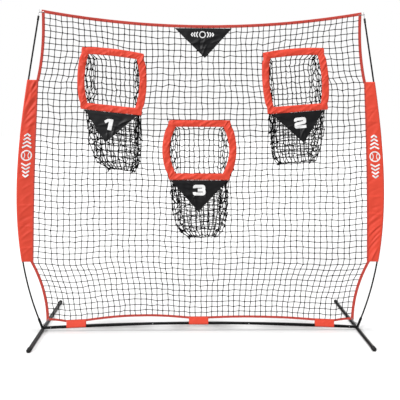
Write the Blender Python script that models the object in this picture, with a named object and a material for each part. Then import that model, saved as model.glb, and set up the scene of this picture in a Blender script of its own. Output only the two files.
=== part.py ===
"""Pitching target net: a bow-framed net with three numbered pockets, on two foot bars.

Metres, +Z up. The net hangs in the plane y = NET_Y and its front faces -Y. The floor is z = 0,
and the foot bars reach equally far in front of and behind y = 0.
"""

import math

import bmesh
import bpy
import numpy as np
from mathutils import Matrix, Vector

GAP = 0.0003  # left between pieces that touch
OVERRUN = 0.010  # how far a cutter passes the surface that it opens
RIGHT, LEFT = 1, -1
SIDES = {"left": LEFT, "right": RIGHT}
ACROSS_X, ACROSS_Y = Vector((1, 0, 0)), Vector((0, 1, 0))

# Base: two foot bars and an arched tube between them
HALF_SPAN = 1.22  # middle of the object to the axis of a foot bar
FOOT_FRONT, FOOT_REAR = 0.465, 0.715  # net plane to the ends of a foot bar
NET_Y = (FOOT_FRONT - FOOT_REAR) / 2
FOOT_Z = 0.0145
FOOT_RADIUS, FOOT_BORE = 0.0125, 0.0108
FOOT_ARM_STARTS = {"front": 0.014, "rear": 0.090}  # net plane to where an arm slides over the hub
CAP_RADIUS, CAP_LENGTH, CAP_DEPTH = 0.0160, 0.042, 0.036
HUB_TUBE_RADIUS, HUB_TUBE_BORE = 0.0105, 0.0090
HUB_TUBE_FRONT, HUB_TUBE_REAR = 0.070, 0.160
SOCKET_RADIUS, SOCKET_LENGTH, SOCKET_FLOOR = 0.0095, 0.088, 0.028
EYE_AT = (1.209, 0.049)  # x and z of the eye that holds a lower corner of the net
EYE_RING, EYE_WIRE = 0.0070, 0.0018

BASE_RADIUS, BASE_BORE = 0.0110, 0.0096
SPIGOT_RADIUS, SPIGOT_BORE = 0.0092, 0.0078
BASE_Z, BASE_ARCH = 0.022, 0.036  # the tube's axis at the foot bars, and its rise in the middle
BASE_END, BASE_JOINT, SPIGOT_LENGTH = 1.203, 0.350, 0.060
STUB_END = 1.095
BUTTON_AT = {"outer": 1.157, "inner": 0.372}
BUTTON_RADIUS, BUTTON_HOLE, BUTTON_PROUD = 0.0038, 0.0041, 0.0025

# Bowed poles: each leans out of its socket, and the pull of the net bends it back in
POLE_RADIUS, POLE_SIDES = 0.0060, 8
POLE_LEAN, POLE_BEND, BEND_LENGTH = 19.5, 29.0, 2.1  # degrees, degrees per metre, metres
BEND_START = 0.090
POLE_BOTTOM, POLE_MIDDLE, POLE_TOP = 0.030, 1.200, 2.378  # distances along the pole
POLE_STEP = 0.050
FERRULE_RADIUS, FERRULE_LENGTH = 0.0076, 0.100
POLE_SLIP = 0.0062  # bore of what slides over a pole
TIP_CAP_RADIUS, TIP_CAP_START, TIP_CAP_END = 0.0078, 2.350, 2.382
TIP_PIN_RADIUS, TIP_PIN_END = 0.0020, 2.426

# Net and its webbing border
NET_THICKNESS, NET_CLEAR, WEBBING_THICKNESS = 0.0012, 0.0008, 0.0040
WEBBING, BOTTOM_WEBBING = 0.022, 0.018
# Gaps that the upright borders leave to the sleeves above or below them and to the level borders
SLEEVE_CLEAR, TOP_CLEAR, BOTTOM_CLEAR = 0.005, 0.004, 0.002
TOP_HALF, TOP_CORNER_Z, TOP_SAG = 1.150, 2.392, 0.098
BOTTOM_HALF, BOTTOM_CORNER_Z = 1.180, 0.088
SLEEVE_LOW, SLEEVE_HIGH = 0.545, 1.905
UPPER_FLARE, UPPER_POWER = 0.0525, 2.4
LOWER_FLARE, LOWER_POWER = 0.1090, 2.1
SLEEVE_IN_LOW, SLEEVE_IN_HIGH, SLEEVE_IN_BULGE = 1.279, 1.202, 0.008
SLEEVE_BORE, SLEEVE_RADIUS, SLEEVE_TAIL = 0.0085, 0.0100, 0.0030
TAB_BORE, TAB_RADIUS, TAB_TAIL = 0.0121, 0.0140, 0.0040
TABS = {"left": -0.962, "centre": -0.018, "right": 0.962}  # x of each tab's middle
TAB_WIDTH, TAB_RISE = 0.150, 0.044
# Rise of the bottom border beyond a tab and the distance it takes: outside the outer tabs, and in each span
BORDER_RISES = {"outside": (0.021, 0.150), "left": (0.023, 0.360), "right": (0.010, 0.360)}

# Elastic loops at the corners
CORD_RADIUS, CORD_HOLE, LOOP_RADIUS = 0.0018, 0.0032, 0.0065
TOP_HOLE, BOTTOM_HOLE = (1.146, 2.386), (1.176, 0.090)
TOP_LOOP_AT_PIN = 2.406  # distance along the pole

# Pockets
MOUTH_FRAME_HALF, MOUTH_BAND, FRAME_THICKNESS = 0.2235, 0.050, 0.006
BAG_THICKNESS, BAG_LIP, BAG_DEPTH, BAG_BACK = 0.002, 0.030, 0.185, 0.72
BAG_INSET_DEPTH = 0.060  # from here back, the bag is narrower than its front
# Shares of the way down a bag: where it is at full depth, and where its bottom starts to close
BAG_FULL, BAG_CLOSING = 0.09, 0.75
BAG_TAPER, BAG_END_DEPTH = 0.10, 0.30
POCKETS = {
    # tilt is the rise of the level edges and lean the outward run of the upright ones, per metre
    # bag is the half width of the netting bag and end the share of it left at the bottom
    # skew is how far one of the bag's bottom corners stays out
    # pennant is the width and drop of the pennant, and apex how far its tip hangs to the right
    "1": {"x": -0.662, "z": 1.897, "tilt": -0.105, "lean": 0.0435, "bulge": 0.030, "arch": 0.012,
          "bag": 0.200, "end": 0.55, "drop": 0.427,
          "drift": 0.030, "skew": 0.45, "pennant": (0.39, 0.222), "apex": -0.046},
    "2": {"x": 0.690, "z": 1.906, "tilt": 0.084, "lean": -0.1010, "bulge": 0.022, "arch": 0.014,
          "bag": 0.202, "end": 0.78, "drop": 0.375,
          "drift": -0.004, "skew": 0.10, "pennant": (0.39, 0.227), "apex": 0.049},
    "3": {"x": -0.018, "z": 1.395, "tilt": 0.000, "lean": 0.0000, "bulge": 0.054, "arch": 0.000,
          "bag": 0.218, "end": 0.55, "drop": 0.435,
          "drift": 0.008, "skew": 0.20, "pennant": (0.43, 0.238), "apex": -0.006},
}
PENNANT_THICKNESS, PENNANT_FORWARD, PENNANT_CLEAR = 0.0015, 0.0036, 0.0012
TOP_PENNANT_X, TOP_PENNANT_SIZE, TOP_PENNANT_APEX = 0.006, (0.418, 0.211), 0.012

FINISHES = {
    # colour, roughness, metallic
    "black_steel": ((0.018, 0.018, 0.020), 0.42, 0.0),
    "black_fibreglass": ((0.012, 0.012, 0.013), 0.30, 0.0),
    "black_rubber": ((0.020, 0.020, 0.020), 0.75, 0.0),
    "zinc": ((0.62, 0.62, 0.63), 0.30, 1.0),
    "red_nylon": ((0.80, 0.065, 0.035), 0.60, 0.0),
    "red_webbing": ((0.48, 0.070, 0.060), 0.80, 0.0),
    "black_nylon": ((0.025, 0.025, 0.028), 0.50, 0.0),
    "black_netting": ((0.020, 0.020, 0.022), 0.80, 0.0),
    "elastic": ((0.30, 0.30, 0.30), 0.70, 0.0),
}


def clear_scene():
    for obj in list(bpy.data.objects):
        bpy.data.objects.remove(obj, do_unlink=True)


def finish(name):
    if name in bpy.data.materials:
        return bpy.data.materials[name]
    colour, roughness, metallic = FINISHES[name]
    made = bpy.data.materials.new(name)
    made.use_nodes = True
    shader = made.node_tree.nodes["Principled BSDF"]
    shader.inputs["Base Color"].default_value = (*colour, 1)
    shader.inputs["Roughness"].default_value = roughness
    shader.inputs["Metallic"].default_value = metallic
    made.diffuse_color = (*colour, 1)
    return made


def add_object(name, shape, material):
    """The bmesh as an object of this name, with its faces turned outwards and round sides smooth."""
    bmesh.ops.recalc_face_normals(shape, faces=shape.faces)
    mesh = bpy.data.meshes.new(name)
    shape.to_mesh(mesh)
    shape.free()
    mesh.shade_smooth()
    mesh.set_sharp_from_angle(angle=math.radians(35))
    mesh.materials.append(finish(material))
    obj = bpy.data.objects.new(name, mesh)
    bpy.context.scene.collection.objects.link(obj)
    return obj


def loft(name, rings, material, cyclic=False):
    """Skins a list of equal rings. A cyclic one joins the last ring to the first, else both are capped."""
    shape = bmesh.new()
    loops = [[shape.verts.new(point) for point in ring] for ring in rings]
    pairs = list(zip(loops, loops[1:]))
    if cyclic:
        pairs.append((loops[-1], loops[0]))
    else:
        shape.faces.new(loops[0])
        shape.faces.new(loops[-1])
    for near, far in pairs:
        for i in range(len(near)):
            shape.faces.new((near[i - 1], near[i], far[i], far[i - 1]))
    return add_object(name, shape, material)


def turned(name, place, profile, material, across=ACROSS_Y, sides=12, cyclic=False):
    """Turns a profile of (distance, radius) pairs about the line that place(distance) gives."""
    rings = []
    for distance, radius in profile:
        centre, along = place(distance)
        upward = along.cross(across)
        turns = [2 * math.pi * i / sides for i in range(sides)]
        rings.append([centre + radius * (math.cos(a) * across + math.sin(a) * upward) for a in turns])
    return loft(name, rings, material, cyclic)


def tube_profile(stations, radius, bore):
    """The profile of a hollow tube: down its outside, and back up its bore."""
    return [(s, radius) for s in stations] + [(s, bore) for s in reversed(stations)]


def plate(name, outline, y, thickness, material):
    """A flat sheet across y, from an outline of (x, z) points."""
    front, back = y - thickness / 2, y + thickness / 2
    return loft(name, [[(x, side, z) for x, z in outline] for side in (front, back)], material)


def boolean(obj, other, operation):
    other.hide_render = True
    other.display_type = "WIRE"
    modifier = obj.modifiers.new(f"{operation.lower()} {other.name}", "BOOLEAN")
    modifier.operation = operation
    modifier.object = other


def move_origin(obj, point):
    obj.data.transform(Matrix.Translation(-Vector(point)))
    obj.location = point


def spread(start, end, count):
    return [float(value) for value in np.linspace(start, end, count)]


# Lines that tubes and poles follow


def foot_line(side):
    """Along a foot bar, by the distance behind the net's plane."""
    return lambda s: (Vector((side * HALF_SPAN, NET_Y + s, FOOT_Z)), ACROSS_Y)


def base_z(x):
    return BASE_Z + BASE_ARCH * (1 - (x / HALF_SPAN) ** 2)


def base_line(x):
    """Along the arched base tube, by x."""
    slope = -2 * BASE_ARCH * x / HALF_SPAN**2
    return Vector((x, NET_Y, base_z(x))), Vector((1, 0, slope)).normalized()


def pole_curve():
    """Distances along a pole, with x, z and the lean in radians at each."""
    distance = np.linspace(0, 2.45, 491)
    bent = np.maximum(distance - BEND_START, 0)
    lean = np.radians(POLE_LEAN - POLE_BEND * (bent - bent**2 / (2 * BEND_LENGTH)))
    middle = (lean[1:] + lean[:-1]) / 2
    step = distance[1]
    x = HALF_SPAN + np.concatenate([[0], np.cumsum(np.sin(middle) * step)])
    z = FOOT_Z + np.concatenate([[0], np.cumsum(np.cos(middle) * step)])
    return distance, x, z, lean


POLE_S, POLE_X, POLE_Z, POLE_ANGLE = pole_curve()


def pole_line(side):
    """Along a pole, by the distance from the hub."""

    def place(s):
        x, z, lean = (float(np.interp(s, POLE_S, line)) for line in (POLE_X, POLE_Z, POLE_ANGLE))
        return Vector((side * x, NET_Y, z)), Vector((side * math.sin(lean), 0, math.cos(lean)))

    return place


def pole_x(z):
    return float(np.interp(z, POLE_Z, POLE_X))


# Base


def hub(side_name, side):
    """Welded hub: a tube along the foot bar, a stub into the base tube, the pole's socket and an eye."""
    name = f"hub_{side_name}"
    foot, pole = foot_line(side), pole_line(side)
    body = turned(name, foot, [(-HUB_TUBE_FRONT, HUB_TUBE_RADIUS), (HUB_TUBE_REAR, HUB_TUBE_RADIUS)],
                  "black_steel", ACROSS_X, 16)
    stub_x = [side * x for x in spread(HALF_SPAN, STUB_END, 4)]
    stub = turned(f"{name}_stub", base_line, [(x, SPIGOT_RADIUS) for x in stub_x], "black_steel")
    socket = turned(f"{name}_socket", pole, [(0, SOCKET_RADIUS), (SOCKET_LENGTH, SOCKET_RADIUS)],
                    "black_steel", sides=16)
    eye_x, eye_z = side * EYE_AT[0], EYE_AT[1]

    def round_eye(turn):
        outward = Vector((math.cos(turn), 0, math.sin(turn)))
        return Vector((eye_x, NET_Y, eye_z)) + EYE_RING * outward, Vector((-outward.z, 0, outward.x))

    eye = turned(f"{name}_eye", round_eye, [(2 * math.pi * i / 14, EYE_WIRE) for i in range(14)],
                 "black_steel", sides=8, cyclic=True)
    stem_bottom, stem_top = Vector((eye_x, NET_Y, BASE_Z)), Vector((eye_x, NET_Y, eye_z - EYE_RING))
    stem = turned(f"{name}_stem", lambda s: (stem_bottom.lerp(stem_top, s), Vector((0, 0, 1))),
                  [(0, EYE_WIRE * 1.4), (1, EYE_WIRE * 1.4)], "black_steel", sides=8)
    for piece in (stub, socket, eye, stem):
        boolean(body, piece, "UNION")
    foot_ends = [(-HUB_TUBE_REAR - OVERRUN, HUB_TUBE_BORE), (HUB_TUBE_REAR + OVERRUN, HUB_TUBE_BORE)]
    stub_ends = [(side * BASE_END, SPIGOT_BORE), (side * (STUB_END - OVERRUN), SPIGOT_BORE)]
    pole_ends = [(SOCKET_FLOOR, POLE_SLIP), (SOCKET_LENGTH + OVERRUN, POLE_SLIP)]
    bores = (
        turned(f"{name}_foot_bore", foot, foot_ends, "black_steel", ACROSS_X, 16),
        turned(f"{name}_stub_bore", base_line, stub_ends, "black_steel"),
        turned(f"{name}_pole_bore", pole, pole_ends, "black_steel", sides=16),
        button_hole(f"{name}_button_hole", side * BUTTON_AT["outer"]),
    )
    for bore in bores:
        boolean(body, bore, "DIFFERENCE")


def foot_arm(side_name, side, end, direction, length):
    start = FOOT_ARM_STARTS[end]
    stations = [direction * start, direction * (length - CAP_LENGTH + CAP_DEPTH - GAP)]
    turned(f"foot_arm_{end}_{side_name}", foot_line(side), tube_profile(stations, FOOT_RADIUS, FOOT_BORE),
           "black_steel", ACROSS_X, 16, cyclic=True)


def foot_cap(side_name, side, end, direction, length):
    """Rubber cap over the end of a foot bar, with a flat underside."""
    mouth, floor = length - CAP_LENGTH, length - CAP_LENGTH + CAP_DEPTH
    bore = FOOT_RADIUS + GAP
    profile = [(floor, bore), (mouth, bore), (mouth, CAP_RADIUS - 0.0015), (mouth + 0.002, CAP_RADIUS),
               (length - 0.003, CAP_RADIUS), (length, CAP_RADIUS - 0.003)]
    name = f"foot_cap_{end}_{side_name}"
    cap = turned(name, foot_line(side), [(direction * s, r) for s, r in profile],
                 "black_rubber", ACROSS_X, 20)
    far, near = direction * (length + OVERRUN), direction * (mouth - OVERRUN)
    left, right = side * HALF_SPAN - 2 * CAP_RADIUS, side * HALF_SPAN + 2 * CAP_RADIUS
    corners = ((left, near), (right, near), (right, far), (left, far))
    levels = [[(x, NET_Y + y, z) for x, y in corners] for z in (-CAP_RADIUS, 0)]
    floor_block = loft(f"{name}_floor", levels, "black_rubber")
    boolean(cap, floor_block, "DIFFERENCE")


def button_line(x):
    """Forward through the base tube at x, by the distance in front of the tube's axis."""
    centre = Vector((x, NET_Y, base_z(x)))
    return lambda s: (centre - s * ACROSS_Y, ACROSS_Y)


def button_hole(name, x):
    """Cutter through the front wall of the base tube and of the spigot inside it."""
    ends = [(0.003, BUTTON_HOLE), (2 * BASE_RADIUS, BUTTON_HOLE)]
    return turned(name, button_line(x), ends, "zinc", ACROSS_X, 16)


def base_tubes():
    """Two outer tubes over the hubs' stubs and over the spigots of the middle tube."""
    for side_name, side in SIDES.items():
        stations = [side * x for x in spread(BASE_JOINT + GAP, BASE_END, 8)]
        tube = turned(f"base_tube_{side_name}", base_line, tube_profile(stations, BASE_RADIUS, BASE_BORE),
                      "black_steel", cyclic=True)
        for place, x in BUTTON_AT.items():
            boolean(tube, button_hole(f"{tube.name}_{place}_hole", side * x), "DIFFERENCE")
    spigot_end = BASE_JOINT + SPIGOT_LENGTH
    body = [(x, BASE_RADIUS) for x in spread(-BASE_JOINT, BASE_JOINT, 7)]
    outside = [(-spigot_end, SPIGOT_RADIUS), (-BASE_JOINT, SPIGOT_RADIUS), *body,
               (BASE_JOINT, SPIGOT_RADIUS), (spigot_end, SPIGOT_RADIUS)]
    bore = [(x, SPIGOT_BORE) for x in spread(spigot_end, -spigot_end, 7)]
    centre = turned("base_tube_centre", base_line, outside + bore, "black_steel", cyclic=True)
    for side_name, side in SIDES.items():
        hole = button_hole(f"base_tube_centre_{side_name}_hole", side * BUTTON_AT["inner"])
        boolean(centre, hole, "DIFFERENCE")


def snap_buttons():
    """Sprung round-headed pins that lock the base tubes, each on an axis across its tube."""
    for side_name, side in SIDES.items():
        for place, x in BUTTON_AT.items():
            name = f"snap_button_{place}_{side_name}"
            button = turned(name, button_line(side * x), button_profile(), "zinc", ACROSS_X, 14)
            move_origin(button, (side * x, NET_Y, base_z(x)))


def button_profile():
    """(distance in front of the tube's axis, radius) up the pin and over its domed head."""
    shoulder = BASE_RADIUS
    turns = spread(0, math.radians(70), 5)
    dome = [(shoulder + BUTTON_PROUD * math.sin(a), BUTTON_RADIUS * math.cos(a)) for a in turns]
    return [(0.0035, BUTTON_RADIUS), *dome]


# Poles


def pole_stations(start, end):
    """Both ends, and each whole POLE_STEP between, so that nested pieces bend at the same places."""
    first, last = math.ceil(start / POLE_STEP + 0.01), math.floor(end / POLE_STEP - 0.01)
    return [start, *(POLE_STEP * i for i in range(first, last + 1)), end]


def poles():
    for side_name, side in SIDES.items():
        line = pole_line(side)
        lower = pole_stations(POLE_BOTTOM, POLE_MIDDLE - GAP / 2)
        upper = pole_stations(POLE_MIDDLE + GAP / 2, POLE_TOP)
        for part, stations in (("lower", lower), ("upper", upper)):
            turned(f"pole_{part}_{side_name}", line, [(s, POLE_RADIUS) for s in stations],
                   "black_fibreglass", sides=POLE_SIDES)
        ferrule = pole_stations(POLE_MIDDLE - FERRULE_LENGTH / 2, POLE_MIDDLE + FERRULE_LENGTH / 2)
        turned(f"pole_ferrule_{side_name}", line, tube_profile(ferrule, FERRULE_RADIUS, POLE_SLIP), "zinc",
               sides=POLE_SIDES, cyclic=True)
        cap = [(POLE_TOP + GAP, POLE_SLIP), (TIP_CAP_START, POLE_SLIP), (TIP_CAP_START, TIP_CAP_RADIUS),
               (TIP_CAP_END - 0.002, TIP_CAP_RADIUS), (TIP_CAP_END, TIP_CAP_RADIUS - 0.002)]
        turned(f"pole_tip_cap_{side_name}", line, cap, "black_rubber", sides=POLE_SIDES)
        pin = [(TIP_CAP_END + GAP, TIP_PIN_RADIUS), (TIP_PIN_END - 0.002, TIP_PIN_RADIUS),
               (TIP_PIN_END, TIP_PIN_RADIUS / 2)]
        turned(f"pole_tip_pin_{side_name}", line, pin, "zinc", sides=10)


# Net edges, all measured on the right half


def top_z(x):
    return TOP_CORNER_Z - TOP_SAG * (1 - (x / TOP_HALF) ** 2)


def upper_x(z):
    return TOP_HALF + UPPER_FLARE * (max(TOP_CORNER_Z - z, 0) / (TOP_CORNER_Z - SLEEVE_HIGH)) ** UPPER_POWER


def lower_x(z):
    rise = max(z - BOTTOM_CORNER_Z, 0) / (SLEEVE_LOW - BOTTOM_CORNER_Z)
    return BOTTOM_HALF + LOWER_FLARE * rise**LOWER_POWER


def sleeve_inner_x(z):
    up = (z - SLEEVE_LOW) / (SLEEVE_HIGH - SLEEVE_LOW)
    return SLEEVE_IN_LOW + (SLEEVE_IN_HIGH - SLEEVE_IN_LOW) * up + SLEEVE_IN_BULGE * math.sin(math.pi * up)


def bottom_z(x):
    """The bottom border is tied down at each tab and rises beyond it."""
    span = "outside" if abs(x) > TABS["right"] else "left" if x < TABS["centre"] else "right"
    rise, length = BORDER_RISES[span]
    clear = min(abs(x - middle) for middle in TABS.values()) - TAB_WIDTH / 2
    return base_z(x) + TAB_RISE + rise * math.sin(math.pi / 2 * min(max(clear, 0) / length, 1))


def offset(line, distance):
    """The (x, z) points of a line moved to its left."""
    points = [Vector(point) for point in line]
    moved = []
    for before, point, after in zip([points[0], *points], points, [*points[1:], points[-1]]):
        along = (after - before).normalized()
        moved.append(point + Vector((-along.y, along.x)) * distance)
    return moved


def band(name, line, width):
    """A strip of webbing in the net's plane, along (x, z) points."""
    outline = offset(line, width / 2) + offset(line, -width / 2)[::-1]
    return plate(name, outline, NET_Y, WEBBING_THICKNESS, "red_webbing")


def corner_hole(name, x, z):
    through = lambda s: (Vector((x, NET_Y + s, z)), ACROSS_Y)
    ends = [(-WEBBING_THICKNESS, CORD_HOLE), (WEBBING_THICKNESS, CORD_HOLE)]
    return turned(name, through, ends, "zinc", ACROSS_X, 12)


def top_line():
    return [(x, top_z(x)) for x in spread(TOP_HALF + WEBBING / 2, -TOP_HALF - WEBBING / 2, 33)]


def bottom_line():
    return [(x, bottom_z(x)) for x in spread(-BOTTOM_HALF - WEBBING / 2, BOTTOM_HALF + WEBBING / 2, 61)]


def upper_line():
    """Up the right edge of the net from the sleeve to the top border."""
    end = top_z(TOP_HALF) - WEBBING / 2 - TOP_CLEAR
    return [(upper_x(z), z) for z in spread(SLEEVE_HIGH + SLEEVE_CLEAR, end, 12)]


def lower_line():
    """Up the right edge of the net from the bottom border to the sleeve."""
    start = bottom_z(BOTTOM_HALF) + BOTTOM_WEBBING / 2 + BOTTOM_CLEAR
    return [(lower_x(z), z) for z in spread(start, SLEEVE_LOW - SLEEVE_CLEAR, 12)]


def borders():
    top = band("border_top", top_line(), WEBBING)
    bottom = band("border_bottom", bottom_line(), BOTTOM_WEBBING)
    for side_name, side in SIDES.items():
        band(f"border_upper_{side_name}", [(side * x, z) for x, z in upper_line()], WEBBING)
        band(f"border_lower_{side_name}", [(side * x, z) for x, z in lower_line()], WEBBING)
        for border, (x, z) in ((top, TOP_HOLE), (bottom, BOTTOM_HOLE)):
            boolean(border, corner_hole(f"{border.name}_{side_name}_hole", side * x, z), "DIFFERENCE")


def net_panel():
    """The net as one thin sheet inside its edges, open at the three mouths."""
    clear = WEBBING / 2 + NET_CLEAR
    right = offset(lower_line(), clear)[1:]
    right += [Vector((sleeve_inner_x(z) - NET_CLEAR, z)) for z in spread(SLEEVE_LOW, SLEEVE_HIGH, 11)]
    right += offset(upper_line(), clear)[:-1]
    top = offset(top_line(), clear)[1:-1]
    left = [Vector((-point.x, point.y)) for point in reversed(right)]
    bottom = offset(bottom_line(), BOTTOM_WEBBING / 2 + NET_CLEAR)[1:-1]
    panel = plate("net_panel", right + top + left + bottom, NET_Y, NET_THICKNESS, "black_netting")
    for number, pocket in POCKETS.items():
        outline = mouth_outline(pocket, MOUTH_FRAME_HALF + NET_CLEAR)
        cutter = plate(f"net_panel_mouth_{number}", outline, NET_Y, 0.02, "black_netting")
        boolean(panel, cutter, "DIFFERENCE")


def racket(centre, tip, bore, radius, tail):
    """Section of a fabric loop round a bar with a flat tail to tip: its outside and its bore."""
    reach = tip - centre
    along = reach.normalized()
    start = math.asin(tail / 2 / radius)
    turns = spread(-start, start - 2 * math.pi, 11)
    around = [centre + radius * (math.cos(a) * along + math.sin(a) * ACROSS_Y) for a in turns]
    outside = [tip - tail / 2 * ACROSS_Y, *around, tip + tail / 2 * ACROSS_Y]
    inner_turns = [-start / 3, *turns, start / 3 - 2 * math.pi]
    inside = [centre + bore * (math.cos(a) * along + math.sin(a) * ACROSS_Y) for a in inner_turns]
    return outside, inside


def fabric_loop(name, ends, bore, radius, tail):
    """Sweeps a racket section over (centre, tip) pairs, open at both ends of its bore."""
    sections = [racket(centre, tip, bore, radius, tail) for centre, tip in ends]
    rings = [outside for outside, _ in sections] + [inside for _, inside in reversed(sections)]
    return loft(name, rings, "red_nylon", cyclic=True)


def side_sleeves():
    for side_name, side in SIDES.items():
        ends = []
        for z in spread(SLEEVE_LOW, SLEEVE_HIGH, 11):
            centre = Vector((side * pole_x(z), NET_Y, z))
            ends.append((centre, Vector((side * sleeve_inner_x(z), NET_Y, z))))
        fabric_loop(f"side_sleeve_{side_name}", ends, SLEEVE_BORE, SLEEVE_RADIUS, SLEEVE_TAIL)


def base_tabs():
    for name, middle in TABS.items():
        ends = []
        for x in spread(middle - TAB_WIDTH / 2, middle + TAB_WIDTH / 2, 4):
            tip = Vector((x, NET_Y, bottom_z(x) - BOTTOM_WEBBING / 2 - GAP))
            ends.append((Vector((x, NET_Y, base_z(x))), tip))
        fabric_loop(f"base_tab_{name}", ends, TAB_BORE, TAB_RADIUS, TAB_TAIL)


def cord_loop(name, near, far):
    """A closed loop of elastic cord that passes along Y through both of two (x, z) points."""
    start, end = Vector((near[0], NET_Y, near[1])), Vector((far[0], NET_Y, far[1]))
    run = (end - start).normalized()
    normal = run.cross(ACROSS_Y)
    centres = ((start + LOOP_RADIUS * run, math.pi), (end - LOOP_RADIUS * run, 0))
    stations = []
    for centre, turned_by in centres:
        for a in spread(-math.pi / 2, math.pi / 2, 9):
            outward = math.cos(a + turned_by) * run + math.sin(a + turned_by) * ACROSS_Y
            stations.append((centre, outward))
    rings = []
    for centre, outward in stations:
        middle = centre + LOOP_RADIUS * outward
        turns = [2 * math.pi * i / 8 for i in range(8)]
        rings.append([middle + CORD_RADIUS * (math.cos(a) * outward + math.sin(a) * normal) for a in turns])
    return loft(name, rings, "elastic", cyclic=True)


def corner_loops():
    for side_name, side in SIDES.items():
        pin, _ = pole_line(side)(TOP_LOOP_AT_PIN)
        beyond_pin = (pin.x + side * (CORD_RADIUS + TIP_PIN_RADIUS + 0.0004), pin.z)
        cord_loop(f"corner_loop_top_{side_name}", (side * TOP_HOLE[0], TOP_HOLE[1]), beyond_pin)
        cord_loop(f"corner_loop_bottom_{side_name}", (side * BOTTOM_HOLE[0], BOTTOM_HOLE[1]),
                  (side * EYE_AT[0], EYE_AT[1]))


# Pockets


def pocket_point(pocket, across, up):
    """A point of a pocket's face from its offsets across and up from the pocket's middle."""
    u, v = across / MOUTH_FRAME_HALF, up / MOUTH_FRAME_HALF
    in_frame = 1 - min(abs(v), 1) ** 2
    x = pocket["x"] + across + pocket["lean"] * max(up, -MOUTH_FRAME_HALF)
    x += pocket["bulge"] * u * in_frame
    z = pocket["z"] + up + pocket["tilt"] * across
    z += pocket["arch"] * max(v, 0) * (1 - min(abs(u), 1) ** 2)
    return x, z


def mouth_outline(pocket, half, per_side=8):
    corners = ((-1, -1), (1, -1), (1, 1), (-1, 1))
    points = []
    for (a, b), (c, d) in zip(corners, corners[1:] + corners[:1]):
        for i in range(per_side):
            t = i / per_side
            points.append(pocket_point(pocket, half * (a + (c - a) * t), half * (b + (d - b) * t)))
    return points


def pocket_frame(number, pocket):
    inner = mouth_outline(pocket, MOUTH_FRAME_HALF - MOUTH_BAND)
    outer = mouth_outline(pocket, MOUTH_FRAME_HALF)
    front, back = NET_Y - FRAME_THICKNESS / 2, NET_Y + FRAME_THICKNESS / 2
    order = ((outer, front), (outer, back), (inner, back), (inner, front))
    rings = [[(x, y, z) for x, z in outline] for outline, y in order]
    loft(f"pocket_frame_{number}", rings, "red_nylon", cyclic=True)


def bag_row(pocket, fall):
    """Half width, depth, height and sideways shift of a bag a share of the way down from its top edge."""
    top = MOUTH_FRAME_HALF - MOUTH_BAND / 2
    up = top - fall * (top + MOUTH_FRAME_HALF + pocket["drop"])
    below = max(-up - MOUTH_FRAME_HALF, 0) / pocket["drop"]
    closing = max((fall - BAG_CLOSING) / (1 - BAG_CLOSING), 0)
    rounded = math.sqrt(max(1 - closing**2, 0))
    open_half = pocket["bag"] * (1 - BAG_TAPER * below)
    half = open_half * (pocket["end"] + (1 - pocket["end"]) * rounded)
    depth = BAG_LIP + (BAG_DEPTH - BAG_LIP) * math.sin(math.pi / 2 * min(fall / BAG_FULL, 1))
    shift = pocket["drift"] * fall + pocket["skew"] * (open_half - half)
    return half, depth * (BAG_END_DEPTH + (1 - BAG_END_DEPTH) * rounded), up, shift


def bag_falls(pocket, open_rows, closed_rows):
    """Shares of the way down at which a bag has a row: one is behind the frame's bottom band."""
    top = MOUTH_FRAME_HALF - MOUTH_BAND / 2
    sill = 2 * top / (top + MOUTH_FRAME_HALF + pocket["drop"])
    return list(spread(0, sill, open_rows + 1)) + list(spread(sill, 1, closed_rows + 1))[1:]


def bag_ring(half, depth, side_cuts, back_cuts, front_cuts):
    """(across, back) points round one row: left side, back, right side, and the front back to the left."""
    back_half = half * (1 - (1 - BAG_BACK) * min(depth / BAG_INSET_DEPTH, 1))
    left = list(zip(spread(-half, -back_half, side_cuts + 1), spread(0, depth, side_cuts + 1)))
    back = [(across, depth) for across in spread(-back_half, back_half, back_cuts + 1)]
    right = [(-across, behind) for across, behind in reversed(left)]
    front = [(across, 0) for across in spread(half, -half, front_cuts + 1)]
    return left[:-1] + back + right[1:] + front[1:-1]


def pocket_net(number, pocket):
    """Open-fronted bag of netting: a U of sides and back beside the mouth, a closed sock below it."""
    open_rows, closed_rows, side_cuts, back_cuts, front_cuts = 7, 8, 3, 4, 4
    y = NET_Y + FRAME_THICKNESS / 2 + 2 * GAP + BAG_THICKNESS
    shape = bmesh.new()
    loops = []
    for fall in bag_falls(pocket, open_rows, closed_rows):
        half, depth, up, shift = bag_row(pocket, fall)
        points = []
        for across, back in bag_ring(half, depth, side_cuts, back_cuts, front_cuts):
            x, z = pocket_point(pocket, across, up)
            points.append(shape.verts.new((x + shift, y + back, z)))
        loops.append(points)
    shape.faces.new(loops[0])
    shape.faces.new(loops[-1])
    open_sides = 2 * side_cuts + back_cuts
    for row, (upper, lower) in enumerate(zip(loops, loops[1:])):
        for i in range(open_sides if row < open_rows else len(upper)):
            j = (i + 1) % len(upper)
            shape.faces.new((upper[i], upper[j], lower[j], lower[i]))
    loose = [vert for vert in shape.verts if not vert.link_faces]
    bmesh.ops.delete(shape, geom=loose, context="VERTS")
    bag = add_object(f"pocket_net_{number}", shape, "black_netting")
    wall = bag.modifiers.new("netting", "SOLIDIFY")
    wall.thickness = BAG_THICKNESS
    wall.offset = -1
    wall.use_even_offset = False


def pennant(name, middle, size, tilt, apex):
    """A triangle of cloth that hangs in front of the net, turning about its top edge."""
    x, z = middle
    width, drop = size
    top = [(x + side * width / 2, z + side * tilt * width / 2) for side in (LEFT, RIGHT)]
    outline = [*top, (x + apex, z - drop)]
    obj = plate(name, outline, NET_Y - PENNANT_FORWARD, PENNANT_THICKNESS, "black_nylon")
    move_origin(obj, (x, NET_Y - PENNANT_FORWARD, z))


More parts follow.
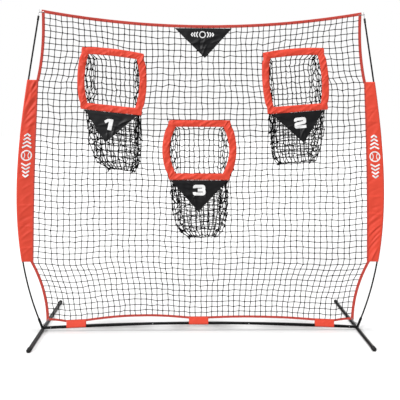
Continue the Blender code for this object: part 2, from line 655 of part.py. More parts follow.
def pockets():
    for number, pocket in POCKETS.items():
        pocket_frame(number, pocket)
        pocket_net(number, pocket)
        x, z = pocket_point(pocket, 0, -MOUTH_FRAME_HALF)
        pennant(f"pocket_pennant_{number}", (x, z - PENNANT_CLEAR), pocket["pennant"], pocket["tilt"],
                pocket["apex"])


def top_pennant():
    z = top_z(TOP_PENNANT_X) - WEBBING / 2 - PENNANT_CLEAR
    pennant("top_pennant", (TOP_PENNANT_X, z), TOP_PENNANT_SIZE, 0, TOP_PENNANT_APEX)


def build():
    clear_scene()
    for side_name, side in SIDES.items():
        hub(side_name, side)
        for end, direction, length in (("front", -1, FOOT_FRONT), ("rear", 1, FOOT_REAR)):
            foot_arm(side_name, side, end, direction, length)
            foot_cap(side_name, side, end, direction, length)
    base_tubes()
    snap_buttons()
    poles()
    borders()
    net_panel()
    side_sleeves()
    base_tabs()
    corner_loops()
    pockets()
    top_pennant()


build()
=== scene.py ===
"""Looks of a free-standing pitching target net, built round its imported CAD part.

Metres, +Z up. The net hangs in the XZ plane at NET_Y, and the player stands on its -Y side. The lines that
the net, poles and pockets follow are those of the CAD part, worked out from the same driving dimensions.
"""

import math

import bpy
import numpy as np
from mathutils import Matrix, Vector


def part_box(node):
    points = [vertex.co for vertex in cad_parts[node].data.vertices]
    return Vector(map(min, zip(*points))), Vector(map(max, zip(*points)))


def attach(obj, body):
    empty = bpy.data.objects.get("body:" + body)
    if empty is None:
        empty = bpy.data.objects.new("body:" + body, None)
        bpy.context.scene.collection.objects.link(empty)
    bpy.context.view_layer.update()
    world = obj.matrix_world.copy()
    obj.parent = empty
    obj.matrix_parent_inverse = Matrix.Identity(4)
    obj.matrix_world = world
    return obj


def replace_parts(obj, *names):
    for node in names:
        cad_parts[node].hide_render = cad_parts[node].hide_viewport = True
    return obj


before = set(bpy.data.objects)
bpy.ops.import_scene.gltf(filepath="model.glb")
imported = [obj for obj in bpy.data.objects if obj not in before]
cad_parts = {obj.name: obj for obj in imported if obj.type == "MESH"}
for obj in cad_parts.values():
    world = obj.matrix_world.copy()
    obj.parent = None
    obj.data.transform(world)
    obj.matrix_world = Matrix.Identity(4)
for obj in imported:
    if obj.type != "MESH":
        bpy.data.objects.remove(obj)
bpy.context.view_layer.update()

ROOT = "net_and_frame"
SIDES = {"left": -1, "right": 1}
X, Y, Z = np.eye(3)

# Driving dimensions of the CAD part
HALF_SPAN = 1.22
NET_Y = -0.125
FOOT_Z = 0.0145
BASE_Z, BASE_ARCH, BASE_RADIUS = 0.022, 0.036, 0.0110
BASE_JOINT, SPIGOT_RADIUS = 0.350, 0.0092
POLE_LEAN, POLE_BEND, BEND_LENGTH, BEND_START = 19.5, 29.0, 2.1, 0.090
POLE_RADIUS, POLE_BOTTOM, POLE_TOP = 0.0060, 0.030, 2.378
POLE_STEP, POLE_STATIONS = 0.005, 491  # steps that a pole's curve is worked out in
WEBBING, BOTTOM_WEBBING, WEBBING_THICKNESS = 0.022, 0.018, 0.0040
TOP_HALF, TOP_CORNER_Z, TOP_SAG = 1.150, 2.392, 0.098
BOTTOM_HALF, BOTTOM_CORNER_Z = 1.180, 0.088
SLEEVE_LOW, SLEEVE_HIGH = 0.545, 1.905
UPPER_FLARE, UPPER_POWER = 0.0525, 2.4
LOWER_FLARE, LOWER_POWER = 0.1090, 2.1
SLEEVE_IN_LOW, SLEEVE_IN_HIGH, SLEEVE_IN_BULGE = 1.279, 1.202, 0.008
TABS = {"left": -0.962, "centre": -0.018, "right": 0.962}
TAB_WIDTH, TAB_RISE = 0.150, 0.044
# Rise of the bottom border beyond a tab and the distance it takes: outside the outer tabs, and in each span
BORDER_RISES = {"outside": (0.021, 0.150), "left": (0.023, 0.360), "right": (0.010, 0.360)}
MOUTH_HALF, MOUTH_BAND = 0.2235, 0.050
BAG_LIP, BAG_DEPTH, BAG_BACK = 0.030, 0.185, 0.72
# Shares of the way down a bag: where it is at full depth, and where its bottom starts to close
BAG_FULL, BAG_CLOSING = 0.09, 0.75
BAG_TAPER, BAG_END_DEPTH = 0.10, 0.30
BAG_INSET_DEPTH = 0.060  # from here back, a bag is narrower than its front
POCKETS = {
    # tilt is the rise of the level edges and lean the outward run of the upright ones, per metre
    # bag is the half width of the netting bag, and skew how far one of its bottom corners stays out
    # pennant is the width and drop of the pennant, and apex how far its tip hangs to the right
    "1": {"x": -0.662, "z": 1.897, "tilt": -0.105, "lean": 0.0435, "bulge": 0.030, "arch": 0.012,
          "bag": 0.200, "end": 0.55, "drop": 0.427,
          "drift": 0.030, "skew": 0.45, "slack": 0.26, "pennant": (0.39, 0.222), "apex": -0.046},
    "2": {"x": 0.690, "z": 1.906, "tilt": 0.084, "lean": -0.1010, "bulge": 0.022, "arch": 0.014,
          "bag": 0.202, "end": 0.78, "drop": 0.375,
          "drift": -0.004, "skew": 0.10, "slack": 0.50, "pennant": (0.39, 0.227), "apex": 0.049},
    "3": {"x": -0.018, "z": 1.395, "tilt": 0.000, "lean": 0.0000, "bulge": 0.054, "arch": 0.000,
          "bag": 0.218, "end": 0.55, "drop": 0.435,
          "drift": 0.008, "skew": 0.20, "slack": 0.26, "pennant": (0.43, 0.238), "apex": -0.006},
}
PENNANT_FORWARD, PENNANT_CLEAR = 0.0036, 0.0012
TOP_PENNANT_X, TOP_PENNANT_SIZE, TOP_PENNANT_APEX = 0.006, (0.418, 0.211), 0.012

# Netting, in radii of its twine and half sizes of its knots
COLUMNS, ROWS = 56, 52
TWINE, KNOT = 0.0028, (0.0068, 0.0034, 0.0062)
BAG_TWINE, BAG_KNOT = 0.0035, (0.0074, 0.0045, 0.0066)
SLACK_TWINE, SLACK_KNOT = 0.0030, (0.0068, 0.0042, 0.0060)
TWINE_IN_SLEEVE, TWINE_SHORT_OF_EDGE = 0.004, 0.006  # where twines end, from a sleeve's and a border's line
NET_SEED, NET_SWAY, NET_SCATTER = 7, 0.0045, 0.0023


# Lines of the part


def base_z(x):
    """Height of the arched base tube's middle line."""
    return BASE_Z + BASE_ARCH * (1 - (x / HALF_SPAN) ** 2)


def pole_curve():
    """Distances along a pole, with x, z and the lean in radians at each."""
    distance = POLE_STEP * np.arange(POLE_STATIONS)
    bent = np.maximum(distance - BEND_START, 0)
    lean = np.radians(POLE_LEAN - POLE_BEND * (bent - bent**2 / (2 * BEND_LENGTH)))
    middle = (lean[1:] + lean[:-1]) / 2
    x = HALF_SPAN + np.concatenate([[0], np.cumsum(np.sin(middle) * POLE_STEP)])
    z = FOOT_Z + np.concatenate([[0], np.cumsum(np.cos(middle) * POLE_STEP)])
    return distance, x, z, lean


POLE_S, POLE_X, POLE_Z, POLE_ANGLE = pole_curve()


def pole_line(side):
    """Along a pole, by the distance from the hub."""

    def place(s):
        x, z, lean = (np.interp(s, POLE_S, line) for line in (POLE_X, POLE_Z, POLE_ANGLE))
        level = np.full_like(x, NET_Y)
        return np.stack([side * x, level, z], -1), np.stack([side * np.sin(lean), 0 * x, np.cos(lean)], -1)

    return place


def along_y(x, z, start=0.0):
    """Along a line from front to back, by the distance behind its start."""
    return lambda s: (np.stack([0 * s + x, start + s, 0 * s + z], -1), np.tile(Y, (len(s), 1)))


def foot_line(side):
    """Along a foot bar, by the distance behind the net's plane."""
    return along_y(side * HALF_SPAN, FOOT_Z, NET_Y)


def base_line(x):
    """Along the arched base tube, by x."""
    slope = -2 * BASE_ARCH * x / HALF_SPAN**2
    return np.stack([x, 0 * x + NET_Y, base_z(x)], -1), np.stack([1 + 0 * x, 0 * x, slope], -1)


def pole_x(z):
    """How far out the right pole is at a height."""
    return np.interp(z, POLE_Z, POLE_X)


def top_z(x):
    """The top border sags between its corners."""
    return TOP_CORNER_Z - TOP_SAG * (1 - (x / TOP_HALF) ** 2)


def upper_x(z):
    """The right side border above the sleeve flares outwards as it goes down."""
    fall = np.maximum(TOP_CORNER_Z - z, 0) / (TOP_CORNER_Z - SLEEVE_HIGH)
    return TOP_HALF + UPPER_FLARE * fall**UPPER_POWER


def lower_x(z):
    """The right side border below the sleeve flares outwards as it goes up."""
    rise = np.maximum(z - BOTTOM_CORNER_Z, 0) / (SLEEVE_LOW - BOTTOM_CORNER_Z)
    return BOTTOM_HALF + LOWER_FLARE * rise**LOWER_POWER


def sleeve_inner_x(z):
    """Where the right sleeve is sewn to the netting."""
    up = (z - SLEEVE_LOW) / (SLEEVE_HIGH - SLEEVE_LOW)
    return SLEEVE_IN_LOW + (SLEEVE_IN_HIGH - SLEEVE_IN_LOW) * up + SLEEVE_IN_BULGE * np.sin(math.pi * up)


def bottom_z(x):
    """The bottom border is tied down at each tab and rises beyond it."""
    spans = [np.abs(x) > TABS["right"], x < TABS["centre"]]
    rise, length = (np.select(spans, pair[:2], pair[2]) for pair in zip(*BORDER_RISES.values()))
    clear = np.min([np.abs(x - middle) for middle in TABS.values()], axis=0) - TAB_WIDTH / 2
    return base_z(x) + TAB_RISE + rise * np.sin(math.pi / 2 * np.clip(clear / length, 0, 1))


def side_x(z):
    """The right edge of the netting, where its twines end in the webbing or in the sleeve's seam."""
    inner = np.where(z < SLEEVE_LOW, lower_x(z), upper_x(z))
    beside_sleeve = (z >= SLEEVE_LOW) & (z <= SLEEVE_HIGH)
    return np.where(beside_sleeve, sleeve_inner_x(z) + TWINE_IN_SLEEVE, inner - TWINE_SHORT_OF_EDGE)


def pocket_point(pocket, across, up):
    """A point of a pocket's face from its offsets across and up from the pocket's middle."""
    u, v = across / MOUTH_HALF, up / MOUTH_HALF
    x = pocket["x"] + across + pocket["lean"] * np.maximum(up, -MOUTH_HALF)
    x = x + pocket["bulge"] * u * (1 - np.minimum(np.abs(v), 1) ** 2)
    z = pocket["z"] + up + pocket["tilt"] * across
    z = z + pocket["arch"] * np.maximum(v, 0) * (1 - np.minimum(np.abs(u), 1) ** 2)
    return x, z


# Meshes


class Shape:
    """Points and faces of one mesh, gathered from several pieces."""

    def __init__(self):
        self.points = []
        self.faces = []
        self.count = 0

    def add_quads(self, points, quads):
        self.faces += (np.asarray(quads) + self.count).tolist()
        self.points.append(np.asarray(points, float).reshape(-1, 3))
        self.count += len(self.points[-1])


def unit(vectors):
    """The same directions with a length of 1."""
    return vectors / np.linalg.norm(vectors, axis=-1, keepdims=True)


def run_along(path):
    """Distance along a path to each of its points."""
    return np.concatenate([[0], np.cumsum(np.linalg.norm(np.diff(path, axis=0), axis=1))])


def sampled(values, run, stations):
    """Values at stations along a path, where run is the distance to each of the path's points."""
    return np.stack([np.interp(stations, run, part) for part in values.T], -1)


def squared_off(values, power):
    """Values from -1 to 1 pushed outwards, which turns a round section into one with flat faces."""
    return np.sign(values) * np.abs(values) ** power


def ring_points(centre, radius, first, second, count):
    """A circle of points in the plane of two unit vectors."""
    turns = np.linspace(0, 2 * math.pi, count, endpoint=False)
    return np.array(centre) + radius * (np.cos(turns)[:, None] * first + np.sin(turns)[:, None] * second)


def grid_quads(rows, columns, wrap_rows=False, wrap_columns=False):
    """Faces of a grid of points, whose index is row * columns + column."""
    index = np.arange(rows * columns).reshape(rows, columns)
    if wrap_rows:
        index = np.vstack([index, index[:1]])
    if wrap_columns:
        index = np.hstack([index, index[:, :1]])
    corners = (index[:-1, :-1], index[:-1, 1:], index[1:, 1:], index[1:, :-1])
    return np.stack([corner.ravel() for corner in corners], axis=1)


def sweep(shape, centres, tangents, radii, sides, reference, closed=False):
    """A round tube along centres, with a radius at each. It has caps unless its ends meet."""
    along = unit(np.asarray(tangents, float))
    first = unit(reference - (along @ reference)[:, None] * along)
    second = np.cross(along, first)
    angles = 2 * math.pi * np.arange(sides) / sides
    radii = np.broadcast_to(radii, len(centres))[:, None, None]
    circle = np.cos(angles)[None, :, None] * first[:, None] + np.sin(angles)[None, :, None] * second[:, None]
    start = shape.count
    points = np.asarray(centres)[:, None] + radii * circle
    shape.add_quads(points, grid_quads(len(centres), sides, closed, True))
    if not closed:
        last = start + (len(centres) - 1) * sides
        shape.faces.append(list(range(start + sides - 1, start - 1, -1)))
        shape.faces.append(list(range(last, last + sides)))


def tube(shape, path, radius, sides, reference, closed=False):
    """A tube along the points of path."""
    path = np.asarray(path, float)
    if closed:
        tangents = np.roll(path, -1, axis=0) - np.roll(path, 1, axis=0)
    else:
        tangents = np.gradient(path, axis=0)
    sweep(shape, path, tangents, radius, sides, reference, closed)


def turned(shape, place, profile, sides, reference, closed=False):
    """A solid of revolution along a line, from its (distance, radius) profile."""
    stations, radii = np.array(profile, float).T
    centres, tangents = place(stations)
    sweep(shape, centres, tangents, radii, sides, reference, closed)


def turned_shape(place, profile, sides, reference, closed=False):
    """A shape that is one solid of revolution."""
    shape = Shape()
    turned(shape, place, profile, sides, reference, closed)
    return shape


def mesh_object(name, shape, material, body=ROOT, sharp=35):
    """One piece of the object, in place, riding on a body."""
    mesh = bpy.data.meshes.new(name)
    mesh.from_pydata(np.concatenate(shape.points).tolist(), [], shape.faces)
    mesh.validate()
    mesh.shade_smooth()
    mesh.set_sharp_from_angle(angle=math.radians(sharp))
    mesh.materials.append(material)
    obj = bpy.data.objects.new(name, mesh)
    bpy.context.scene.collection.objects.link(obj)
    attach(obj, body)
    return obj


def thicken(obj, thickness):
    """Gives a sheet its wall, half of it on either side."""
    wall = obj.modifiers.new("cloth", "SOLIDIFY")
    wall.thickness = thickness
    wall.offset = 0
    return obj


def cloth(name, points, material, thickness, body=ROOT, wrap_rows=False, wrap_columns=False):
    """A sheet of cloth from a grid of points."""
    shape = Shape()
    shape.add_quads(points, grid_quads(*points.shape[:2], wrap_rows, wrap_columns))
    return thicken(mesh_object(name, shape, material, body, sharp=80), thickness)


def waves(x, z, pitch, seed, count=9):
    """Smooth unevenness from -1 to 1 over the plane, about one hump per pitch."""
    chance = np.random.default_rng(seed)
    total = 0 * (x + z)
    for _ in range(count):
        turn = chance.uniform(0, 2 * math.pi)
        rate = 2 * math.pi / (pitch * chance.uniform(0.7, 1.6))
        start = chance.uniform(0, 2 * math.pi)
        total = total + np.sin(rate * (x * math.cos(turn) + z * math.sin(turn)) + start)
    return total / math.sqrt(2 * count) / 1.4


def creases(x, z, folds):
    """Height over the plane of creases, each (x, z of its middle, angle, half length, half width, height)."""
    total = 0 * (x + z)
    for middle_x, middle_z, angle, length, width, height in folds:
        along = (x - middle_x) * math.cos(angle) + (z - middle_z) * math.sin(angle)
        across = (z - middle_z) * math.cos(angle) - (x - middle_x) * math.sin(angle)
        across = across + 0.10 * along**2 / length
        total = total + height * np.exp(-np.abs(across / width) ** 1.6) * np.exp(-((along / length) ** 4))
    return total


# Materials


class Nodes:
    """A material's node tree, with short calls for its nodes."""

    def __init__(self, name, colour, roughness, metallic=0.0, specular=0.5, sheen=0.0):
        self.material = bpy.data.materials.new(name)
        self.material.use_nodes = True
        self.tree = self.material.node_tree
        self.shader = self.tree.nodes["Principled BSDF"]
        self.shader.inputs["Base Color"].default_value = (*colour, 1)
        self.shader.inputs["Roughness"].default_value = roughness
        self.shader.inputs["Metallic"].default_value = metallic
        self.shader.inputs["Specular IOR Level"].default_value = specular
        self.shader.inputs["Sheen Weight"].default_value = sheen
        self.shader.inputs["Sheen Roughness"].default_value = 0.45
        self.colour = colour
        self.place = self.node("TexCoord").outputs["Object"]

    def node(self, kind, **settings):
        made = self.tree.nodes.new("ShaderNode" + kind)
        for key, value in settings.items():
            setattr(made, key, value)
        return made

    def put(self, socket, value):
        if isinstance(value, bpy.types.NodeSocket):
            self.tree.links.new(value, socket)
        else:
            socket.default_value = value

    def maths(self, operation, *values):
        made = self.node("Math", operation=operation)
        for socket, value in zip(made.inputs, values):
            self.put(socket, value)
        return made.outputs[0]

    def noise(self, scale, detail=3.0, stretch=(1, 1, 1), place=None):
        """Noise from 0 to 1, with scale humps to the metre."""
        mapping = self.node("Mapping")
        self.put(mapping.inputs["Vector"], place or self.place)
        self.put(mapping.inputs["Scale"], stretch)
        made = self.node("TexNoise")
        self.put(made.inputs["Vector"], mapping.outputs[0])
        self.put(made.inputs["Scale"], scale)
        self.put(made.inputs["Detail"], detail)
        return made.outputs["Fac"]

    def threads(self, pitch, axis, place=None):
        """Ridges from 0 to 1 across an axis, a pitch apart."""
        split = self.node("SeparateXYZ")
        self.put(split.inputs[0], place or self.place)
        turn = self.maths("MULTIPLY", split.outputs[axis], 2 * math.pi / pitch)
        return self.maths("MULTIPLY_ADD", self.maths("SINE", turn), 0.5, 0.5)

    def ramp(self, value, low, high):
        made = self.node("MapRange")
        for socket, given in zip(made.inputs, (value, 0.0, 1.0, low, high)):
            self.put(socket, given)
        return made.outputs[0]

    def tint(self, value, dark, light):
        """The base colour runs from dark to light times itself as value goes from 0 to 1."""
        mixed = self.node("Mix", data_type="RGBA")
        self.put(mixed.inputs["Factor"], value)
        self.put(mixed.inputs["A"], (*(min(part * dark, 1) for part in self.colour), 1))
        self.put(mixed.inputs["B"], (*(min(part * light, 1) for part in self.colour), 1))
        self.put(self.shader.inputs["Base Color"], mixed.outputs["Result"])
        return self

    def rough(self, value, low, high):
        self.put(self.shader.inputs["Roughness"], self.ramp(value, low, high))
        return self

    def bump(self, height, distance, strength=1.0):
        made = self.node("Bump")
        self.put(made.inputs["Height"], height)
        self.put(made.inputs["Distance"], distance)
        self.put(made.inputs["Strength"], strength)
        self.put(self.shader.inputs["Normal"], made.outputs[0])
        return self


def woven(name, colour, roughness, pitch, sheen, dark, light, specular=0.4):
    """Cloth woven in the net's plane: crossing threads, a soft unevenness and a little sheen."""
    made = Nodes(name, colour, roughness, specular=specular, sheen=sheen)
    weave = made.maths("MAXIMUM", made.threads(pitch, 0), made.threads(pitch, 2))
    cloudy = made.noise(14, 4)
    made.tint(made.maths("MULTIPLY_ADD", weave, 0.25, made.maths("MULTIPLY", cloudy, 0.75)), dark, light)
    made.rough(cloudy, roughness - 0.08, roughness + 0.08)
    height = made.maths("MULTIPLY_ADD", made.noise(900, 2), 0.4, weave)
    return made.bump(height, 0.00012, 0.5).material


def webbing_material():
    """Ribbed webbing, duller than the cloth."""
    made = Nodes("red_webbing", (0.60, 0.070, 0.050), 0.75, specular=0.25, sheen=0.05)
    mix = made.maths("MULTIPLY_ADD", made.noise(60, 4), 0.6, made.maths("MULTIPLY", made.noise(700, 2), 0.4))
    made.tint(mix, 0.72, 1.22)
    ribs = made.maths("MAXIMUM", made.threads(0.0016, 0), made.threads(0.0016, 2))
    return made.bump(ribs, 0.0003, 0.7).material


def coated(name, colour, low, high, specular, speckle=450, depth=0.00006):
    """A coated or moulded surface with a fine orange-peel grain and faint scuffs."""
    made = Nodes(name, colour, low, specular=specular)
    scuffs = made.noise(35, 5, (1, 0.25, 1))
    made.rough(scuffs, low, high)
    made.tint(made.noise(9, 4), 0.75, 1.35)
    return made.bump(made.noise(speckle, 2), depth, 0.6).material


def fibreglass_material():
    """Drawn fibreglass: smooth, with faint fibres along the pole."""
    made = Nodes("black_fibreglass", (0.005, 0.005, 0.0055), 0.36, specular=0.20)
    fibres = made.noise(700, 3, (1, 1, 0.02))
    made.rough(fibres, 0.26, 0.46)
    made.tint(fibres, 0.7, 1.6)
    return made.bump(fibres, 0.00004, 0.4).material


def zinc_material():
    """Bright plating, slightly uneven."""
    made = Nodes("zinc", (0.62, 0.62, 0.64), 0.28, metallic=1.0)
    made.rough(made.noise(180, 4), 0.22, 0.42)
    made.tint(made.noise(40, 3), 0.85, 1.08)
    return made.bump(made.noise(1200, 2), 0.00003, 0.5).material


def twine_material():
    """Twisted black twine: short slanted strands and a slightly dusty bloom."""
    made = Nodes("black_netting", (0.008, 0.008, 0.009), 0.80, specular=0.12)
    strands = made.maths("MAXIMUM", made.noise(900, 2, (1, 1, 0.3)), made.noise(900, 2, (0.3, 1, 1)))
    made.tint(strands, 0.6, 2.0)
    return made.bump(strands, 0.0004, 0.8).material


def elastic_material():
    """Braided grey cord."""
    made = Nodes("elastic", (0.32, 0.32, 0.33), 0.7, specular=0.25, sheen=0.2)
    braid = made.maths("MULTIPLY", made.threads(0.0022, 2), made.threads(0.0018, 0))
    made.tint(braid, 0.75, 1.15)
    return made.bump(braid, 0.0003, 0.8).material


def print_material():
    """White print on cloth, a little worn."""
    made = Nodes("white_print", (0.98, 0.98, 0.98), 0.55, specular=0.4)
    made.tint(made.noise(120, 5), 0.96, 1.02)
    return made.bump(made.noise(1300, 2), 0.00006, 0.5).material


STEEL = coated("black_steel", (0.0045, 0.0045, 0.0050), 0.34, 0.30, 0.20)
RUBBER = coated("black_rubber", (0.018, 0.018, 0.018), 0.68, 0.85, 0.3, 240, 0.0002)
FIBREGLASS = fibreglass_material()
ZINC = zinc_material()
RED_CLOTH = woven("red_nylon", (0.81, 0.078, 0.044), 0.50, 0.0011, 0.01, 0.90, 1.07, 0.20)
RED_WEBBING = webbing_material()
BLACK_CLOTH = woven("black_nylon", (0.0050, 0.0050, 0.0060), 0.46, 0.0011, 0.01, 0.7, 1.6, 0.30)
TWINE_BLACK = twine_material()
ELASTIC = elastic_material()
WHITE_PRINT = print_material()
RED_THREAD = woven("red_thread", (0.56, 0.060, 0.045), 0.70, 0.0008, 0.1, 0.8, 1.2)


# Base and poles

TUBE_STEP = 0.02
BASE_BORE, SPIGOT_BORE = 0.0096, 0.0078
BUTTONS = ("outer", "inner")
BUTTON_HOLE = 0.0042
HUB_TUBE = {"start": -0.070, "end": 0.160, "radius": 0.0105, "bore": 0.0090}
STUB_START, STUB_RADIUS = 1.095, 0.0092
SOCKET_RADIUS = 0.0095
BEAD_POINTS, BEAD_LUMPS, BEAD_RADIUS = 48, 15, 0.0015
EYE_X, EYE_Z, EYE_RADIUS, EYE_WIRE = 1.209, 0.049, 0.0070, 0.0018
STEM_TOP, STEM_END, STEM_LEAN = 0.0065, 0.0245, 0.004  # below the eye's middle, and outwards
ARM_RADIUS, ARM_BORE, CAP_BORE = 0.0125, 0.0108, 0.0127
CAP_STEP, CAP_ROUND, CAP_END = 0.0008, 0.005, 0.006  # step below the lip, nose radius and end thickness
GRIPS, GRIP_START, GRIP_PITCH = 4, 0.010, 0.0055
# Profiles along a pole: (distance from the hub, radius)
SOCKET = [(0.0095, SOCKET_RADIUS), (0.03, SOCKET_RADIUS), (0.05, SOCKET_RADIUS), (0.07, SOCKET_RADIUS),
          (0.0872, SOCKET_RADIUS), (0.088, 0.0087), (0.088, 0.0068), (0.030, 0.0066), (0.0095, 0.0066)]
TIP_CAP = [(2.3784, 0.0060), (2.3520, 0.0063), (2.350, 0.0066), (2.350, 0.0074), (2.3512, 0.0078),
           (2.3550, 0.0078), (2.3560, 0.0074), (2.3790, 0.0074), (2.3812, 0.0066), (2.3820, 0.0050)]
TIP_PIN = [(2.3822, 0.0020), (2.400, 0.0020), (2.4230, 0.0020), (2.4248, 0.0016), (2.4258, 0.0008)]
LOWER_POLE_END, UPPER_POLE_START = 1.1998, 1.2002
FERRULE_START, FERRULE_END, FERRULE_RADIUS, FERRULE_BORE = 1.150, 1.250, 0.0076, 0.0062


def ring_wall(outside, start, end, radius, bore):
    """Profile of an open tube with slightly rounded lips, from start to end of the outside line."""
    lip = min(0.0008, (radius - bore) / 2)
    middle = [(s, radius) for s in outside if start + lip < s < end - lip]
    outer = [(start, radius - lip), (start + lip, radius), *middle, (end - lip, radius), (end, radius - lip)]
    return [*outer, (end, bore), (start, bore)]


def smooth_stations(start, end, step):
    """Evenly spaced distances from start to end, about a step apart."""
    return np.linspace(start, end, max(2, round((end - start) / step) + 1)).tolist()


def base_tubes():
    """Three sections of arched tube; a bore is left where each snap button stands."""
    box = {name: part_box(f"base_tube_{name}") for name in ("left", "centre", "right")}
    for name, (low, high) in box.items():
        if name == "centre":
            profile = centre_tube(high.x)
        else:
            stations = smooth_stations(low.x, high.x, TUBE_STEP)
            profile = ring_wall(stations, low.x, high.x, BASE_RADIUS, BASE_BORE)
        shape = turned_shape(base_line, profile, 36, Y, closed=True)
        obj = mesh_object(f"base_tube_{name}_steel", shape, STEEL)
        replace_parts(obj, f"base_tube_{name}")
        if name != "centre":
            for button in BUTTONS:
                bore(obj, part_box(f"snap_button_{button}_{name}"))


def centre_tube(end):
    """Profile of the middle section, whose ends are swaged to fit inside the outer sections."""
    stations = smooth_stations(-BASE_JOINT, BASE_JOINT, TUBE_STEP)
    wall = ring_wall(stations, -BASE_JOINT, BASE_JOINT, BASE_RADIUS, SPIGOT_BORE)
    spigot = [(BASE_JOINT + 0.0006, SPIGOT_RADIUS), (end - 0.001, SPIGOT_RADIUS)]
    spigot.append((end, SPIGOT_RADIUS - 0.0008))
    outside = [*[(-s, r) for s, r in spigot[::-1]], *wall[:-2], *spigot]
    return [*outside, (end, SPIGOT_BORE), (-end, SPIGOT_BORE)]


def bore(obj, button_box):
    """Cuts the round hole that a snap button stands in through the front wall of a tube."""
    low, high = button_box
    middle = (low + high) / 2
    depths = [(low.y - 0.004, BUTTON_HOLE), (low.y + 0.008, BUTTON_HOLE)]
    cut = turned_shape(along_y(middle.x, middle.z), depths, 32, X)
    cutter = mesh_object("cutter", cut, STEEL)
    hole = obj.modifiers.new("hole", "BOOLEAN")
    hole.operation = "DIFFERENCE"
    hole.object = cutter
    bpy.context.view_layer.update()
    drilled = bpy.data.meshes.new_from_object(obj.evaluated_get(bpy.context.evaluated_depsgraph_get()))
    obj.modifiers.clear()
    obj.data = drilled
    bpy.data.objects.remove(cutter)


def snap_buttons():
    """Domed steel pins."""
    for side_name in SIDES:
        for button in BUTTONS:
            body = f"snap_button_{button}_{side_name}"
            low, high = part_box(body)
            middle = (low + high) / 2
            radius = (high.x - low.x) / 2
            turns = np.linspace(0.12, math.pi / 2, 8)
            dome = [(low.y + 0.0022 * (1 - math.cos(a)), radius * math.sin(a)) for a in turns]
            shape = turned_shape(along_y(middle.x, middle.z), [*dome, (high.y, radius)], 32, X)
            obj = mesh_object(f"{body}_pin", shape, ZINC, body)
            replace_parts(obj, body)


def weld_bead(shape, centre, axis, radius, seed):
    """A lumpy ring of weld round a tube."""
    chance = np.random.default_rng(seed)
    axis = unit(np.array(axis, float))
    first = unit(np.cross(axis, Y if abs(axis[1]) < 0.9 else X))
    second = np.cross(axis, first)
    turns = np.linspace(0, 2 * math.pi, BEAD_POINTS, endpoint=False)
    ripple = 0.0002 * np.sin(turns * BEAD_LUMPS) + chance.normal(0, 0.00008, BEAD_POINTS)
    path = ring_points(centre, radius + 0.0004, first, second, BEAD_POINTS)
    tube(shape, path, BEAD_RADIUS + ripple, 8, axis, closed=True)


def hubs():
    """Welded hub: a tube along the foot bar, a stub into the base tube, the pole's socket and an eye."""
    for side_name, side in SIDES.items():
        shape = Shape()
        turned(shape, foot_line(side), ring_wall([], *HUB_TUBE.values()), 36, X, closed=True)
        stations = smooth_stations(1.10, 1.20, TUBE_STEP)
        stub = ring_wall(stations, STUB_START, HALF_SPAN - 0.006, STUB_RADIUS, SPIGOT_BORE)
        turned(shape, lambda s: base_line(side * s), stub, 32, Y, closed=True)
        turned(shape, pole_line(side), SOCKET, 32, Y, closed=True)
        root, lean = (value[0] for value in pole_line(side)(np.array([0.0135])))
        weld_bead(shape, root, lean, SOCKET_RADIUS, 3)
        end, along = (value[0] for value in base_line(np.array([side * (HALF_SPAN - 0.0115)])))
        weld_bead(shape, end, along, STUB_RADIUS, 4)
        eye = np.array([side * EYE_X, NET_Y, EYE_Z])
        tube(shape, ring_points(eye, EYE_RADIUS, X, Z, 40), EYE_WIRE, 12, Y, closed=True)
        stem = [eye - STEM_TOP * Z, eye - STEM_END * Z + side * STEM_LEAN * X]
        tube(shape, stem, EYE_WIRE, 12, Y)
        obj = mesh_object(f"hub_{side_name}_weldment", shape, STEEL, sharp=40)
        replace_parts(obj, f"hub_{side_name}")


def feet():
    """Foot arms, which slide over the hub, and their rubber caps."""
    for side_name, side in SIDES.items():
        for end, direction in (("front", -1), ("rear", 1)):
            low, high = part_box(f"foot_arm_{end}_{side_name}")
            start, stop = sorted(abs(y - NET_Y) for y in (low.y, high.y))
            stations = smooth_stations(start + 0.05, stop - 0.05, 0.06)
            profile = ring_wall(stations, start, stop, ARM_RADIUS, ARM_BORE)
            facing = [(direction * s, r) for s, r in profile][::direction]
            shape = turned_shape(foot_line(side), facing, 36, X, closed=True)
            obj = mesh_object(f"foot_arm_{end}_{side_name}_steel", shape, STEEL)
            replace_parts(obj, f"foot_arm_{end}_{side_name}")
            foot_cap(side_name, side, end, direction)


def foot_cap(side_name, side, end, direction):
    """A moulded rubber cap with a rounded end, a lip and shallow grip rings."""
    low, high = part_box(f"foot_cap_{end}_{side_name}")
    near, far = sorted(abs(y - NET_Y) for y in (low.y, high.y))
    radius = (high.x - low.x) / 2
    skin = radius - CAP_STEP
    lip = [(near, CAP_BORE), (near, radius - 0.0006), (near + 0.0012, radius), (near + 0.004, radius)]
    lip += [(near + 0.005, skin)]
    grips = []
    for i in range(GRIPS):
        s = near + GRIP_START + GRIP_PITCH * i
        grips += [(s, skin), (s + 0.0008, skin - CAP_STEP), (s + 0.0020, skin - CAP_STEP), (s + 0.0028, skin)]
    turns = np.linspace(0, math.pi / 2, 7)
    nose = [(far - CAP_ROUND * (1 - math.sin(a)), skin - CAP_ROUND * (1 - math.cos(a))) for a in turns]
    inside = [(far, 0.001), (far - CAP_END, 0.001), (far - CAP_END, CAP_BORE)]
    profile = [(direction * s, r) for s, r in [*lip, *grips, *nose, *inside]][::direction]
    shape = turned_shape(foot_line(side), profile, 36, X, closed=True)
    for points in shape.points:
        points[:, 2] = np.maximum(points[:, 2], 0)
    obj = mesh_object(f"foot_cap_{end}_{side_name}_rubber", shape, RUBBER)
    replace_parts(obj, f"foot_cap_{end}_{side_name}")


